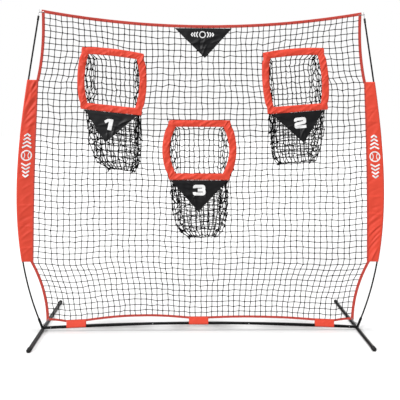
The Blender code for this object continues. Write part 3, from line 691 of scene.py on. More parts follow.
def pole_rod(start, end):
    """Profile of one section of a pole, with slightly rounded ends."""
    shaft = [(s, POLE_RADIUS) for s in smooth_stations(start + 0.001, end - 0.001, TUBE_STEP)]
    return [(start, POLE_RADIUS - 0.0007), *shaft, (end, POLE_RADIUS - 0.0007)]


def poles():
    """Bowed poles in two sections, with a ferrule between them, a rubber tip and a pin for the elastic."""
    stations = smooth_stations(FERRULE_START + 0.01, FERRULE_END - 0.01, TUBE_STEP)
    ferrule = ring_wall(stations, FERRULE_START, FERRULE_END, FERRULE_RADIUS, FERRULE_BORE)
    pieces = {
        "lower": ("rod", pole_rod(POLE_BOTTOM, LOWER_POLE_END), 24, FIBREGLASS, "black_fibreglass"),
        "upper": ("rod", pole_rod(UPPER_POLE_START, POLE_TOP), 24, FIBREGLASS, "black_fibreglass"),
        "ferrule": ("sleeve", ferrule, 28, ZINC, "zinc"),
        "tip_cap": ("rubber", TIP_CAP, 28, RUBBER, "black_rubber"),
        "tip_pin": ("steel", TIP_PIN, 20, ZINC, "zinc"),
    }
    for side_name, side in SIDES.items():
        for part, (suffix, profile, sides, material, slot) in pieces.items():
            shape = turned_shape(pole_line(side), profile, sides, Y, closed=part == "ferrule")
            obj = mesh_object(f"pole_{part}_{side_name}_{suffix}", shape, material)
            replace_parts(obj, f"pole_{part}_{side_name}")


# Netting


def net_grid():
    """Knots of the netting, (columns + 1, rows + 1, 2) in x and z, before the pockets pull on them."""
    s = np.linspace(0, 1, COLUMNS + 1)[:, None]
    t = np.linspace(0, 1, ROWS + 1)[None, :]
    low, high = bottom_z(np.array(BOTTOM_HALF)), top_z(TOP_HALF)
    z_side = low + (high - low) * t[0]
    right = np.stack([side_x(z_side), z_side], -1)
    left = right * (-1, 1)
    x_bottom, x_top = right[0, 0] * (2 * s[:, 0] - 1), right[-1, 0] * (2 * s[:, 0] - 1)
    bottom = np.stack([x_bottom, bottom_z(x_bottom)], -1)
    top = np.stack([x_top, top_z(x_top)], -1)
    s, t = s[..., None], t[..., None]
    edges = (1 - s) * left[None] + s * right[None] + (1 - t) * bottom[:, None] + t * top[:, None]
    low_corners = (1 - s) * (1 - t) * left[0] + s * (1 - t) * right[0]
    return edges - low_corners - (1 - s) * t * left[-1] - s * t * right[-1]


def relax(pull, held, rounds=900):
    """Spreads the pull at the held knots smoothly over the net, whose own edge doesn't move."""
    for _ in range(rounds):
        mean = (pull[2:, 1:-1] + pull[:-2, 1:-1] + pull[1:-1, 2:] + pull[1:-1, :-2]) / 4
        pull[1:-1, 1:-1] = np.where(held[1:-1, 1:-1, None], pull[1:-1, 1:-1], mean)
    return pull


def pulled_net():
    """The knots in place, with a mask of those that are left out in the mouths."""
    flat = net_grid()
    pull, held = np.zeros_like(flat), np.zeros(flat.shape[:2], bool)
    missing = held.copy()
    for pocket in POCKETS.values():
        # knots this far from a pocket's middle are pulled to the edges of its face
        wide, tall = MOUTH_HALF + 0.6 * pocket["bulge"], MOUTH_HALF + 0.3 * pocket["arch"]
        across = (flat[..., 0] - pocket["x"]) * MOUTH_HALF / wide
        up = (flat[..., 1] - pocket["z"]) * MOUTH_HALF / tall
        inside = (np.abs(across) <= MOUTH_HALF) & (np.abs(up) <= MOUTH_HALF)
        x, z = pocket_point(pocket, across, up)
        pull[inside] = (np.stack([x, z], -1) - flat)[inside]
        held |= inside
        missing |= np.maximum(np.abs(across), np.abs(up)) < MOUTH_HALF - MOUTH_BAND
    chance = np.random.default_rng(NET_SEED)
    knots = flat + relax(pull, held)
    loose = ~held
    loose[[0, -1]] = loose[:, [0, -1]] = False
    x, z = knots[..., 0], knots[..., 1]
    sway = np.stack([waves(x, z, 0.22, 11), waves(x, z, 0.22, 12)], -1) * NET_SWAY
    knots[loose] += (sway + chance.normal(0, NET_SCATTER, knots.shape))[loose]
    y = NET_Y + np.where(loose, 0.002 * waves(x, z, 0.5, 13), 0.0012 * held)
    return np.stack([knots[..., 0], y, knots[..., 1]], -1), missing


NET_KNOTS, NET_MISSING = pulled_net()


def runs(missing):
    """Index ranges of the stretches of twine that have no missing knot."""
    present = np.flatnonzero(~missing)
    return [part for part in np.split(present, np.flatnonzero(np.diff(present) > 1) + 1) if len(part) > 1]


def twines(missing):
    """Index of the knots along each stretch of twine, up the columns and then across the rows."""
    for column in range(1, COLUMNS):
        for part in runs(missing[column]):
            yield column, part
    for row in range(1, ROWS):
        for part in runs(missing[:, row]):
            yield part, row


def knot_form():
    """Points and faces of a small rounded lump."""
    golden = (1 + math.sqrt(5)) / 2
    points = [(a, b * golden, 0) for a in (-1, 1) for b in (-1, 1)]
    points += [(0, a, b * golden) for a in (-1, 1) for b in (-1, 1)]
    points += [(b * golden, 0, a) for a in (-1, 1) for b in (-1, 1)]
    points = unit(np.array(points, float))
    faces = []
    for i in range(12):
        for j in range(i + 1, 12):
            for k in range(j + 1, 12):
                corners = points[[i, j, k]]
                if all(np.linalg.norm(corners[a] - corners[b]) < 1.1 for a, b in ((0, 1), (1, 2), (0, 2))):
                    normal = np.cross(corners[1] - corners[0], corners[2] - corners[0])
                    faces.append([i, j, k] if normal @ corners.sum(0) > 0 else [i, k, j])
    return points, np.array(faces)


def add_knots(shape, places, size, chance):
    """A lump at each place, turned a little differently about the net's normal."""
    points, faces = knot_form()
    for place in places:
        turn = chance.uniform(-0.5, 0.5) + math.pi / 4
        grown = points * size * chance.uniform(0.85, 1.12, 3)
        turned_x = grown[:, 0] * math.cos(turn) - grown[:, 2] * math.sin(turn)
        turned_z = grown[:, 0] * math.sin(turn) + grown[:, 2] * math.cos(turn)
        shape.add_quads(np.stack([turned_x, grown[:, 1], turned_z], -1) + place, faces)


def netting():
    """The net: one twine along each row and column of knots, cut where the mouths are."""
    shape = Shape()
    for along in twines(NET_MISSING):
        tube(shape, NET_KNOTS[along], TWINE, 5, Y)
    knotted = ~NET_MISSING
    knotted[[0, -1]] = knotted[:, [0, -1]] = False
    add_knots(shape, NET_KNOTS[knotted], KNOT, np.random.default_rng(NET_SEED + 1))
    obj = mesh_object("netting", shape, TWINE_BLACK, sharp=60)
    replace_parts(obj, "net_panel")


# Pocket bags


BAG_ROWS = 20
BAG_SIDE, BAG_ACROSS = 8, 8  # meshes along a side and across the back
ROW_TWINE = 0.9 * BAG_TWINE
SAG = 0.0028  # how far the middle of a slack twine strays from its knots
BEHIND_NET, SLACK_BEHIND, FRONT_BEHIND = 0.0085, 0.0080, 0.0095
# How far a bag's knots stray up, across and back, and how far those of a sock's front do
STRAY_UP, STRAY_ACROSS, STRAY_BACK, STRAY_FRONT = 0.0070, 0.0075, 0.009, 0.0050
ZIGZAG = 0.008  # knots on a bag's sides stand above and below their row in turn by this much


def bag_row(pocket, fall):
    """Half width, depth, height and sideways shift of a bag a share of the way down from its top edge."""
    top = MOUTH_HALF - MOUTH_BAND / 2
    up = top - fall * (top + MOUTH_HALF + pocket["drop"])
    below = max(-up - MOUTH_HALF, 0) / pocket["drop"]
    closing = max((fall - BAG_CLOSING) / (1 - BAG_CLOSING), 0)
    rounded = math.sqrt(max(1 - closing**2, 0))
    open_half = pocket["bag"] * (1 - BAG_TAPER * below)
    half = open_half * (pocket["end"] + (1 - pocket["end"]) * rounded)
    depth = BAG_LIP + (BAG_DEPTH - BAG_LIP) * math.sin(math.pi / 2 * min(fall / BAG_FULL, 1))
    shift = pocket["drift"] * fall + pocket["skew"] * (open_half - half)
    return half, depth * (BAG_END_DEPTH + (1 - BAG_END_DEPTH) * rounded), up, shift


def bag_ring(half, depth):
    """(across, back) of one row's knots: left side, back and right side."""
    back_half = half * (1 - (1 - BAG_BACK) * min(depth / BAG_INSET_DEPTH, 1))
    corner = 0.25 * depth
    outline = rounded([(-half, 0), (-back_half, depth), (back_half, depth), (half, 0)], corner)
    run = run_along(outline)
    slope = math.hypot(half - back_half, depth)
    side = slope / (2 * slope + 2 * back_half)
    stations = np.concatenate([np.linspace(0, side, BAG_SIDE + 1)[:-1],
                               np.linspace(side, 1 - side, BAG_ACROSS + 1),
                               np.linspace(1 - side, 1, BAG_SIDE + 1)[1:]]) * run[-1]
    return sampled(outline, run, stations)


def bag_knots(pocket, seed):
    """Knots of one bag, (rows + 1, knots round a row, 3)."""
    chance = np.random.default_rng(seed)
    rows = []
    for row in range(BAG_ROWS + 1):
        half, depth, up, shift = bag_row(pocket, row / BAG_ROWS)
        across, back = bag_ring(half, depth).T
        beside = (back > 0.1 * depth) & (back < 0.85 * depth)
        messy = np.where(beside, 1.0, 0.42) * min(1, 0.5 + row / BAG_ROWS)
        zigzag = ZIGZAG * (-1.0) ** np.arange(len(across)) * beside
        ups = up + zigzag + chance.normal(0, STRAY_UP, len(across)) * messy
        x, z = pocket_point(pocket, across, ups)
        straight, _ = pocket_point({**pocket, "bulge": 0}, across, ups)
        x = straight + (x - straight) * (1 - back / BAG_DEPTH)
        x = x + shift + chance.normal(0, STRAY_ACROSS, len(across)) * messy
        back = back + np.where(back > 0.02, chance.normal(0, STRAY_BACK, len(across)), 0)
        rows.append(np.stack([x, NET_Y + BEHIND_NET + np.maximum(back, 0), z], -1))
    return np.array(rows)


def slack_line(points, chance, sag):
    """A line through knots with a slack middle between each two."""
    middles = (points[1:] + points[:-1]) / 2 + chance.normal(0, sag, (len(points) - 1, 3))
    middles[:, 2] -= sag
    middles[:, 1] = np.maximum(middles[:, 1], NET_Y + SLACK_BEHIND)
    line = np.empty((2 * len(points) - 1, 3))
    line[::2], line[1::2] = points, middles
    return line


def front_of_bag(shape, pocket, chance):
    """The sock's front: netting that lies on the back of the main net, mesh on mesh but slack."""
    x, z = NET_KNOTS[..., 0], NET_KNOTS[..., 2]
    inside = np.zeros(x.shape, bool)
    rows = np.array([bag_row(pocket, fall) for fall in np.linspace(0, 1, 200)])
    middle_x, level = pocket_point(pocket, rows[:, 3], rows[:, 2])
    in_sock = rows[:, 2] < -MOUTH_HALF + MOUTH_BAND / 2
    in_sock[-1] = False
    for knot in np.ndindex(x.shape):
        nearest = int(np.argmin(np.abs(level + pocket["tilt"] * (x[knot] - pocket["x"]) - z[knot])))
        inside[knot] = in_sock[nearest] and abs(x[knot] - middle_x[nearest]) < rows[nearest, 0]
    slack = NET_KNOTS.copy()
    slack[:-1, :-1] += pocket["slack"] * (NET_KNOTS[1:, 1:] - NET_KNOTS[:-1, :-1])
    slack = slack + chance.normal(0, STRAY_FRONT, NET_KNOTS.shape) * (1, 0, 1)
    slack[..., 1] = NET_Y + FRONT_BEHIND
    for along in twines(~inside):
        tube(shape, slack_line(slack[along], chance, SAG), SLACK_TWINE, 5, Y)
    add_knots(shape, slack[inside], SLACK_KNOT, chance)


def pocket_bags():
    """A bag of slack netting behind each mouth: open in front beside the mouth, a closed sock below it."""
    for number, pocket in POCKETS.items():
        chance = np.random.default_rng(20 + int(number))
        knots = bag_knots(pocket, 30 + int(number))
        shape = Shape()
        for row in range(BAG_ROWS + 1):
            tube(shape, slack_line(knots[row], chance, SAG), ROW_TWINE, 5, Z)
        for column in range(knots.shape[1]):
            beside = column < BAG_SIDE or column > BAG_SIDE + BAG_ACROSS
            end = round(BAG_CLOSING * BAG_ROWS) if beside and column % 2 else BAG_ROWS + 1
            radius = SLACK_TWINE if beside else BAG_TWINE
            tube(shape, slack_line(knots[:end, column], chance, 0.0022), radius, 5, Y)
        front_of_bag(shape, pocket, chance)
        bottom_seam(shape, knots[-1], chance)
        add_knots(shape, knots[1:-1].reshape(-1, 3), BAG_KNOT, chance)
        add_knots(shape, knots[-1], SLACK_KNOT, chance)
        obj = mesh_object(f"pocket_bag_{number}", shape, TWINE_BLACK, sharp=60)
        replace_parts(obj, f"pocket_net_{number}")


def bottom_seam(shape, ring, chance):
    """The last row's front edge, and short twines that lace the back to it."""
    back = ring[BAG_SIDE:BAG_SIDE + BAG_ACROSS + 1]
    front = np.linspace(ring[0], ring[-1], BAG_ACROSS + 1)
    tube(shape, slack_line(front, chance, SAG), SLACK_TWINE, 5, Z)
    for near, far in zip(front[::2], back[::2]):
        lace = np.array([near, (near + far) / 2, far])
        tube(shape, slack_line(lace, chance, 0.002), SLACK_TWINE, 5, Z)


# Pocket frames, sleeves, tabs and borders

STITCH_REACH = 0.92  # width of the overcast stitches, as a share of the webbing's
BAND_SWELL = 0.0062
BAND_SINK = -0.0026  # how deep a crease can be
BAND_STITCHES = 0.86  # place of the stitches across half a band
INNER_BOW = 0.17  # how much further an upright band's inner edge bows, as a share of the outer edge's bow
EAR = 0.0065  # how far a level band passes the upright ones
FRAME_STATIONS, FRAME_SIDES = 128, 36  # along one side of a frame, and round its band
HEM = 0.016
SLEEVE_WRAP, SLEEVE_EDGE = 0.0092, 0.0012  # radius round the pole, and thickness at the net's edge
SLEEVE_ROWS, SLEEVE_ACROSS = 220, 24
# Heights of a sleeve's creases: where the fan starts, the span of the slanting ones, and the level ones
SLEEVE_CREASES = {-1: (1.885, (0.62, 1.60), (0.66, 0.80, 0.99, 1.27, 1.48)),
                  1: (0.565, (0.92, 1.86), (0.93, 1.04, 1.30, 1.62, 1.67))}
FAN_CREASES, SLANTING_CREASES = 12, 15
TAB_WRAP, TAB_EDGE = 0.0122, 0.0046


def stitches(name, path, material, body=ROOT, length=0.0042, gap=0.0020, radius=0.00042):
    """A row of short stitches along a path on the cloth's surface."""
    run = run_along(path)
    radii = radius * np.array([0.4, 1, 1, 0.4])
    shape = Shape()
    for start in np.arange(gap, run[-1] - length, length + gap):
        points = sampled(path, run, start + length * np.array([0, 0.25, 0.75, 1]))
        tangents = np.tile(points[-1] - points[0], (4, 1))
        sweep(shape, points, tangents, radii, 5, unit(Y + 0.01 * X + 0.02 * Z))
    return mesh_object(name, shape, material, body)


def overcast(name, line, width, depth, pitch=0.0065, radius=0.0006):
    """Slanting stitches that wrap over a strip of webbing, as one thread in a flat coil."""
    run = run_along(line)
    count = int(run[-1] / pitch)
    turns = np.linspace(0, count, count * 8 + 1)
    stations = run[-1] * turns / count
    centre = sampled(line, run, stations)
    normal = sampled(across_of(line), run, stations)
    angle = 2 * math.pi * turns
    across = np.clip(1.5 * np.cos(angle), -1, 1) * width / 2
    deep = np.clip(2.2 * np.sin(angle), -1, 1) * depth / 2
    shape = Shape()
    tube(shape, centre + across[:, None] * normal + deep[:, None] * Y, radius, 5, unit(Y + 0.3 * X + 0.2 * Z))
    return mesh_object(name, shape, RED_THREAD)


def across_of(line):
    """Unit vectors in the net's plane, to the left of a line."""
    along = unit(np.gradient(line, axis=0))
    return np.stack([-along[:, 2], 0 * along[:, 0], along[:, 0]], -1)


def ribbon(name, line, width, seed, thickness=WEBBING_THICKNESS):
    """Webbing folded over the net's edge: a flat tube with a round outer fold, slightly wavy."""
    section = np.linspace(0, 2 * math.pi, 20, endpoint=False)
    across = squared_off(np.cos(section), 0.45)
    deep = squared_off(np.sin(section), 0.55)
    normal = across_of(line)
    run = line[:, 0] + line[:, 2]
    wide = width / 2 * (1 + 0.03 * waves(run, 0 * run, 0.09, seed))
    sway = 0.0008 * waves(run, 0 * run, 0.16, seed + 1)
    rings = line[:, None] + sway[:, None, None] * Y
    rings = rings + (wide[:, None] * across)[..., None] * normal[:, None]
    rings = rings + (thickness / 2 * deep * (1 - 0.15 * across**2))[None, :, None] * Y
    shape = Shape()
    shape.add_quads(rings, grid_quads(len(line), len(section), False, True)[:, ::-1])
    shape.faces.append(list(range(len(section))))
    last = (len(line) - 1) * len(section)
    shape.faces.append(list(range(last + len(section) - 1, last - 1, -1)))
    return mesh_object(name, shape, RED_WEBBING, sharp=50)


def in_plane(x, z, y=NET_Y):
    """Points in the net's plane, or in one at another y."""
    return np.stack([x, 0 * x + y, z], -1)


def evenly_spaced(points, step=0.006):
    """The same line with points a step apart."""
    run = run_along(points)
    return sampled(points, run, np.linspace(0, run[-1], int(run[-1] / step) + 1))


def borders():
    """Webbing round the net, with overcast stitching."""
    x = np.linspace(-TOP_HALF - WEBBING / 2, TOP_HALF + WEBBING / 2, 400)
    top = evenly_spaced(in_plane(x, top_z(x)))
    x = np.linspace(-BOTTOM_HALF - WEBBING / 2, BOTTOM_HALF + WEBBING / 2, 500)
    bottom = evenly_spaced(in_plane(x, bottom_z(x)))
    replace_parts(ribbon("border_top_webbing", top, WEBBING, 41), "border_top")
    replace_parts(ribbon("border_bottom_webbing", bottom, BOTTOM_WEBBING, 43), "border_bottom")
    overcast("border_top_stitching", top, WEBBING * STITCH_REACH, WEBBING_THICKNESS * 1.02)
    overcast("border_bottom_stitching", bottom, BOTTOM_WEBBING * STITCH_REACH, WEBBING_THICKNESS * 1.02)
    for side_name, side in SIDES.items():
        z = np.linspace(SLEEVE_HIGH - 0.010, top_z(TOP_HALF) - 0.004, 120)
        upper = evenly_spaced(in_plane(side * upper_x(z), z))
        z = np.linspace(bottom_z(np.array(BOTTOM_HALF)) + 0.004, SLEEVE_LOW + 0.010, 120)
        lower = evenly_spaced(in_plane(side * lower_x(z), z))
        for part, line, seed in (("upper", upper, 45), ("lower", lower, 47)):
            name = f"border_{part}_{side_name}"
            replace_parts(ribbon(f"{name}_webbing", line, WEBBING, seed, WEBBING_THICKNESS * 0.9), name)
            overcast(f"{name}_stitching", line, WEBBING * STITCH_REACH, WEBBING_THICKNESS * 0.93)


CORNERS = np.array([(-1, -1), (1, -1), (1, 1), (-1, 1)], float)


def square_path(per_side):
    """Corner-to-corner stations round a unit square, anticlockwise from its lower left corner."""
    share = np.arange(per_side)[:, None] / per_side
    ends = np.roll(CORNERS, -1, axis=0)
    return np.concatenate([a + (b - a) * share for a, b in zip(CORNERS, ends)])


def frame_folds(pocket, seed):
    """Creases of a mouth frame: they slant across each band like a rope's lay, and gather in the corners."""
    chance = np.random.default_rng(seed)
    middle = MOUTH_HALF - MOUTH_BAND / 2
    folds = []
    for a, b in square_path(12) * middle:
        x, z = pocket_point(pocket, a + chance.uniform(-0.012, 0.012), b + chance.uniform(-0.012, 0.012))
        upright = abs(a) >= middle - 1e-6
        angle = math.radians(chance.uniform(50, 74) if upright else chance.uniform(10, 36))
        height = chance.choice([-1, 1], p=[0.40, 0.60]) * chance.uniform(0.0042, 0.0080)
        folds.append((x, z, angle, chance.uniform(0.022, 0.048), chance.uniform(0.0032, 0.0070), height))
    for a, b in CORNERS:
        x, z = pocket_point(pocket, a * middle, b * middle)
        folds.append((x, z, math.atan2(b, a), 0.030, 0.0040, -0.0035))
    return folds


def frame_outline(pocket, path, half):
    """(across, up) round a frame.

    The level bands pass the ends of the upright ones by a few millimetres, and the inner edges of the upright
    bands bow further than the outer ones, so those bands are widest at their ends.
    """
    middle = MOUTH_HALF - MOUTH_BAND / 2
    inner_share = np.clip((middle - half) / (MOUTH_BAND / 2), 0, 1)
    pull = INNER_BOW * pocket["bulge"] * inner_share * (2 * path[..., 1] ** 2 - 0.6)
    across, up = path[..., 0] * (half - pull), path[..., 1] * half
    beside_corner = np.exp(-(((np.abs(path[..., 1]) - 0.80) / 0.09) ** 2))
    upright = (np.abs(path[..., 0]) > 0.999) & (half > middle)
    return across - np.sign(across) * np.where(upright, EAR * beside_corner, 0), up


def band_unevenness(x, z, pocket, number):
    """How far a mouth frame's face stands forward at a point, apart from its own swell."""
    folds = creases(x, z, frame_folds(pocket, 50 + number))
    return np.clip(folds + 0.0010 * waves(x, z, 0.045, 60 + number), BAND_SINK, BAND_SWELL)


def mouth_frames():
    """Bands of folded cloth round the mouths, with mitred corners, creases and two rows of stitches."""
    path = square_path(FRAME_STATIONS)
    section = np.linspace(0, 2 * math.pi, FRAME_SIDES, endpoint=False)
    wide = squared_off(np.cos(section), 0.5)
    deep = squared_off(np.sin(section), 0.6)
    stitch_groove = np.exp(-((np.abs(wide) - BAND_STITCHES) / 0.07) ** 2)
    thick = BAND_SWELL * deep * (1 - 0.35 * stitch_groove)
    half = MOUTH_HALF - MOUTH_BAND * (1 - wide) / 2
    for number, pocket in POCKETS.items():
        across, up = frame_outline(pocket, path[:, None], half[None])
        x, z = pocket_point(pocket, across, up)
        y = NET_Y - thick - band_unevenness(x, z, pocket, int(number)) * (1 - np.abs(wide) ** 6)
        shape = Shape()
        shape.add_quads(np.stack([x, y, z], -1), grid_quads(len(path), len(section), True, True)[:, ::-1])
        obj = mesh_object(f"mouth_frame_{number}", shape, RED_CLOTH, sharp=75)
        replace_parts(obj, f"pocket_frame_{number}")
        for edge, share in (("outer", BAND_STITCHES), ("inner", -BAND_STITCHES)):
            line = MOUTH_HALF - MOUTH_BAND * (1 - share) / 2
            x, z = pocket_point(pocket, *frame_outline(pocket, path, np.full(len(path), line)))
            lift = BAND_SWELL * 0.62 + band_unevenness(x, z, pocket, int(number)) * (1 - BAND_STITCHES**6)
            stitches(f"mouth_frame_{number}_{edge}_stitches", in_plane(x, z, NET_Y - lift), RED_THREAD)


def wrapped(centre, tip, radius, tail, across_count, turn_count):
    """Rows of cloth from a tip, round a bar and back, with how near each point is to the bar from 0 to 1."""
    reach = tip - centre
    length = np.linalg.norm(reach, axis=-1, keepdims=True)
    toward = reach / length
    lift = np.arccos(np.clip(radius / length[:, 0], 0, 1))
    angles = np.linspace(lift, 2 * math.pi - lift, turn_count, axis=-1)
    spokes = np.cos(angles)[..., None] * toward[:, None] - np.sin(angles)[..., None] * Y
    around = centre[:, None] + radius * spokes
    share = np.linspace(0, 1, across_count, endpoint=False)[None, :, None]
    front_tip, back_tip = tip - tail / 2 * Y, tip + tail / 2 * Y
    front = front_tip[:, None] * (1 - share) + around[:, :1] * share
    back = around[:, -1:] * (1 - share) + back_tip[:, None] * share
    back = np.concatenate([back[:, 1:], back_tip[:, None]], axis=1)
    slack = np.concatenate([share[0, :, 0], np.ones(turn_count), 1 - share[0, 1:, 0], [0]])
    return np.concatenate([front, around, back], axis=1), slack


def sleeve_folds(side):
    """Creases of a side sleeve: a fan where the cloth is pulled into one end, and slight ones elsewhere."""
    chance = np.random.default_rng(70 + side)
    fan_end, span, levels = SLEEVE_CREASES[side]
    folds = []
    for step in range(FAN_CREASES):
        share = step / (FAN_CREASES - 1)
        z = fan_end + side * (0.03 + 0.30 * share) + chance.uniform(-0.008, 0.008)
        middle = side * (pole_x(z) + sleeve_inner_x(z)) / 2 + chance.uniform(-0.015, 0.015)
        angle = math.radians(64 - 30 * share + chance.uniform(-5, 5))
        height = (-1) ** step * chance.uniform(0.55, 1.0) * (0.0080 - 0.0030 * share)
        folds.append((middle, z, angle, chance.uniform(0.07, 0.12), chance.uniform(0.007, 0.012), height))
    for z in np.linspace(*span, SLANTING_CREASES) + chance.uniform(-0.02, 0.02, SLANTING_CREASES):
        middle = side * (pole_x(z) + sleeve_inner_x(z)) / 2 + chance.uniform(-0.02, 0.02)
        angle = math.radians(chance.uniform(15, 58))
        height = chance.choice([-1, 1]) * chance.uniform(0.0016, 0.0042)
        folds.append((middle, z, angle, chance.uniform(0.04, 0.09), chance.uniform(0.006, 0.012), height))
    for z in levels:
        middle = side * (pole_x(z) + sleeve_inner_x(z)) / 2
        angle = math.radians(chance.uniform(-6, 12))
        z = z + chance.uniform(-0.02, 0.02)
        folds.append((middle, z, angle, 0.075, 0.005, chance.uniform(0.0020, 0.0036)))
    return folds


def sleeve_lift(x, z, side, slack):
    """How far the sleeve's cloth stands forward at a point."""
    hem = np.minimum(np.minimum(z - SLEEVE_LOW, SLEEVE_HIGH - z) / 0.03, 1)
    free = np.sin(math.pi * np.clip(slack, 0, 1)) ** 0.6
    folds = creases(x, z, sleeve_folds(side)) * (0.35 + 0.65 * hem)
    return free * (folds + 0.0016 * waves(x, z, 0.10, 80 + side) + 0.0005 * waves(x, z, 0.03, 84 + side))


def side_sleeves():
    """Sleeves that the poles run through: cloth folded round the pole and sewn flat to the net's edge."""
    for side_name, side in SIDES.items():
        z = np.linspace(SLEEVE_LOW, SLEEVE_HIGH, SLEEVE_ROWS)
        centre, tip = in_plane(side * pole_x(z), z), in_plane(side * sleeve_inner_x(z), z)
        points, slack = wrapped(centre, tip, SLEEVE_WRAP, SLEEVE_EDGE, SLEEVE_ACROSS, 13)
        points[..., 1] -= sleeve_lift(points[..., 0], points[..., 2], side, slack[None])
        obj = cloth(f"sleeve_{side_name}", points, RED_CLOTH, 0.0007)
        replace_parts(obj, f"side_sleeve_{side_name}")
        z = np.linspace(SLEEVE_LOW, SLEEVE_HIGH, 230)
        seam = in_plane(side * (sleeve_inner_x(z) + 0.003), z)
        ribbon(f"sleeve_seam_{side_name}", seam, 0.013, 49, 0.0048)
        sleeve_hems(side_name, side)
        emblem(side_name, side)


def on_sleeve(side, share, z, proud):
    """Points on the front of a sleeve, a share of the way from the net's edge to the pole."""
    edge = sleeve_inner_x(z)
    x = side * (edge + (pole_x(z) - edge) * share)
    share = np.clip(share, 0, 1)
    layer = SLEEVE_EDGE / 2 + (SLEEVE_WRAP - SLEEVE_EDGE / 2) * share
    return in_plane(x, z, NET_Y - layer - sleeve_lift(x, z, side, share) - proud)


def sleeve_hems(side_name, side):
    """Stitched hems at both ends of a sleeve."""
    share = np.linspace(0.04, 0.97, 60)
    for end, level in (("low", SLEEVE_LOW + HEM), ("high", SLEEVE_HIGH - HEM)):
        path = on_sleeve(side, share, 0 * share + level, 0.0007)
        stitches(f"sleeve_{side_name}_{end}_hem", path, RED_THREAD)


def base_tabs():
    """Tabs that hold the bottom border down to the base tube."""
    for number, (name, middle) in enumerate(TABS.items()):
        x = np.linspace(middle - TAB_WIDTH / 2, middle + TAB_WIDTH / 2, 48)
        centre = in_plane(x, base_z(x))
        tip = in_plane(x, bottom_z(x) + BOTTOM_WEBBING / 2 - 0.003)
        points, slack = wrapped(centre, tip, TAB_WRAP, TAB_EDGE, 16, 15)
        free = np.sin(math.pi * np.clip(slack, 0, 1)) ** 0.6
        x, z = points[..., 0], points[..., 2]
        lift = 0.0011 * waves(x, z, 0.035, 90 + number) + creases(x, z, tab_folds(middle, 93 + number))
        points[..., 1] -= lift * free
        obj = cloth(f"tab_{name}", points[::-1], RED_CLOTH, 0.0008)
        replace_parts(obj, f"base_tab_{name}")
        inset = middle + np.linspace(0.005 - TAB_WIDTH / 2, TAB_WIDTH / 2 - 0.005, 40)
        top = in_plane(inset, bottom_z(inset) + BOTTOM_WEBBING / 2 - 0.008, NET_Y - 0.0042)
        stitches(f"tab_{name}_stitches", top, RED_THREAD)


def tab_folds(middle, seed):
    """Short slanting creases of a tab."""
    chance = np.random.default_rng(seed)
    folds = []
    for _ in range(5):
        x = middle + chance.uniform(-0.06, 0.06)
        z = base_z(x) + chance.uniform(0.015, 0.040)
        angle = math.radians(chance.uniform(25, 70))
        folds.append((x, z, angle, 0.02, 0.0035, chance.uniform(0.0008, 0.0018)))
    return folds


# Print and pennants


def stroke(path, width, step=0.004):
    """A strip of the given width along (across, up) points, as a grid (stations, 9, 2)."""
    run = run_along(path)
    stations = np.unique(np.concatenate([run, np.linspace(0, run[-1], int(run[-1] / step) + 2)]))
    line = sampled(path, run, stations)
    along = unit(np.gradient(line, axis=0))
    left = np.stack([-along[:, 1], along[:, 0]], -1)
    return line[:, None] + left[:, None] * np.linspace(width / 2, -width / 2, 9)[None, :, None]


def rounded(points, radius, steps=6):
    """A line through corner points, with each inner corner rounded."""
    points = np.asarray(points, float)
    line = [points[0]]
    for before, corner, after in zip(points, points[1:], points[2:]):
        arms = (before - corner, after - corner)
        cut = min(radius, *(0.49 * np.linalg.norm(arm) for arm in arms))
        start, end = (corner + unit(arm) * cut for arm in arms)
        for share in np.linspace(0, 1, steps):
            line.append((1 - share) ** 2 * start + 2 * share * (1 - share) * corner + share**2 * end)
    line.append(points[-1])
    return np.array(line)


def ring_path(radius, count=40):
    """A closed circle of (across, up) points that starts and ends at the right."""
    angles = 2 * math.pi * np.linspace(0, 1, count)
    return radius * np.stack([np.cos(angles), np.sin(angles)], -1)


def printed(name, strokes, surface, body):
    """White print made of strokes, laid on a surface that takes (across, up) and returns points."""
    shape = Shape()
    for layer, grid in enumerate(strokes):
        points = surface(grid[..., 0], grid[..., 1], PRINT_PROUD + PRINT_LAYER * layer)
        shape.add_quads(points, grid_quads(*grid.shape[:2]))
    obj = mesh_object(name, shape, WHITE_PRINT, body, sharp=80)
    return thicken(obj, PRINT_THICKNESS)


NUMERALS = {
    # strokes of each numeral: rounding of the corners, width and corner points, in heights of the numeral
    "1": [(0.03, 0.26, [(-0.36, 0.17), (-0.08, 0.37), (0.12, 0.37)]),
          (0.00, 0.38, [(0.22, 0.50), (0.12, -0.52)])],
    "2": [(0.09, 0.28, [(-0.43, 0.15), (-0.43, 0.36), (0.42, 0.36), (0.42, 0.02), (-0.42, -0.08),
                        (-0.42, -0.36), (0.54, -0.36)])],
    "3": [(0.14, 0.29, [(-0.46, 0.18), (-0.46, 0.36), (0.40, 0.36), (0.40, 0.01), (-0.16, 0.01)]),
          (0.16, 0.29, [(-0.16, 0.0), (0.44, 0.0), (0.44, -0.36), (-0.48, -0.36), (-0.48, -0.18)])],
}
NUMERAL_HEIGHT = 0.080
# Middle of each numeral from the middle of its pennant's top edge
NUMERAL_AT = {"1": (-0.019, -0.089), "2": (0.020, -0.080), "3": (0.002, -0.075)}
PRINT_MIDDLE_Z = 1.352  # of the mark on a sleeve
SLEEVE_BALL, TOP_BALL = 0.036, 0.021
PENNANT_ROWS, PENNANT_COLUMNS, BLUNT_TIP = 66, 72, 0.0016
PRINT_PROUD, PRINT_LAYER, PRINT_THICKNESS = 0.0011, 0.00030, 0.00025


def sleeve_print(side):
    """Surface for print on a sleeve: across the sleeve and along it from the print's middle."""

    def place(across, up, proud):
        z = PRINT_MIDDLE_Z + up
        start, end = sleeve_inner_x(z), pole_x(z)
        centre = (start + end) / 2 + 0.004
        share = (centre + side * across - start) / (end - start)
        return on_sleeve(side, share, z, proud)

    return place


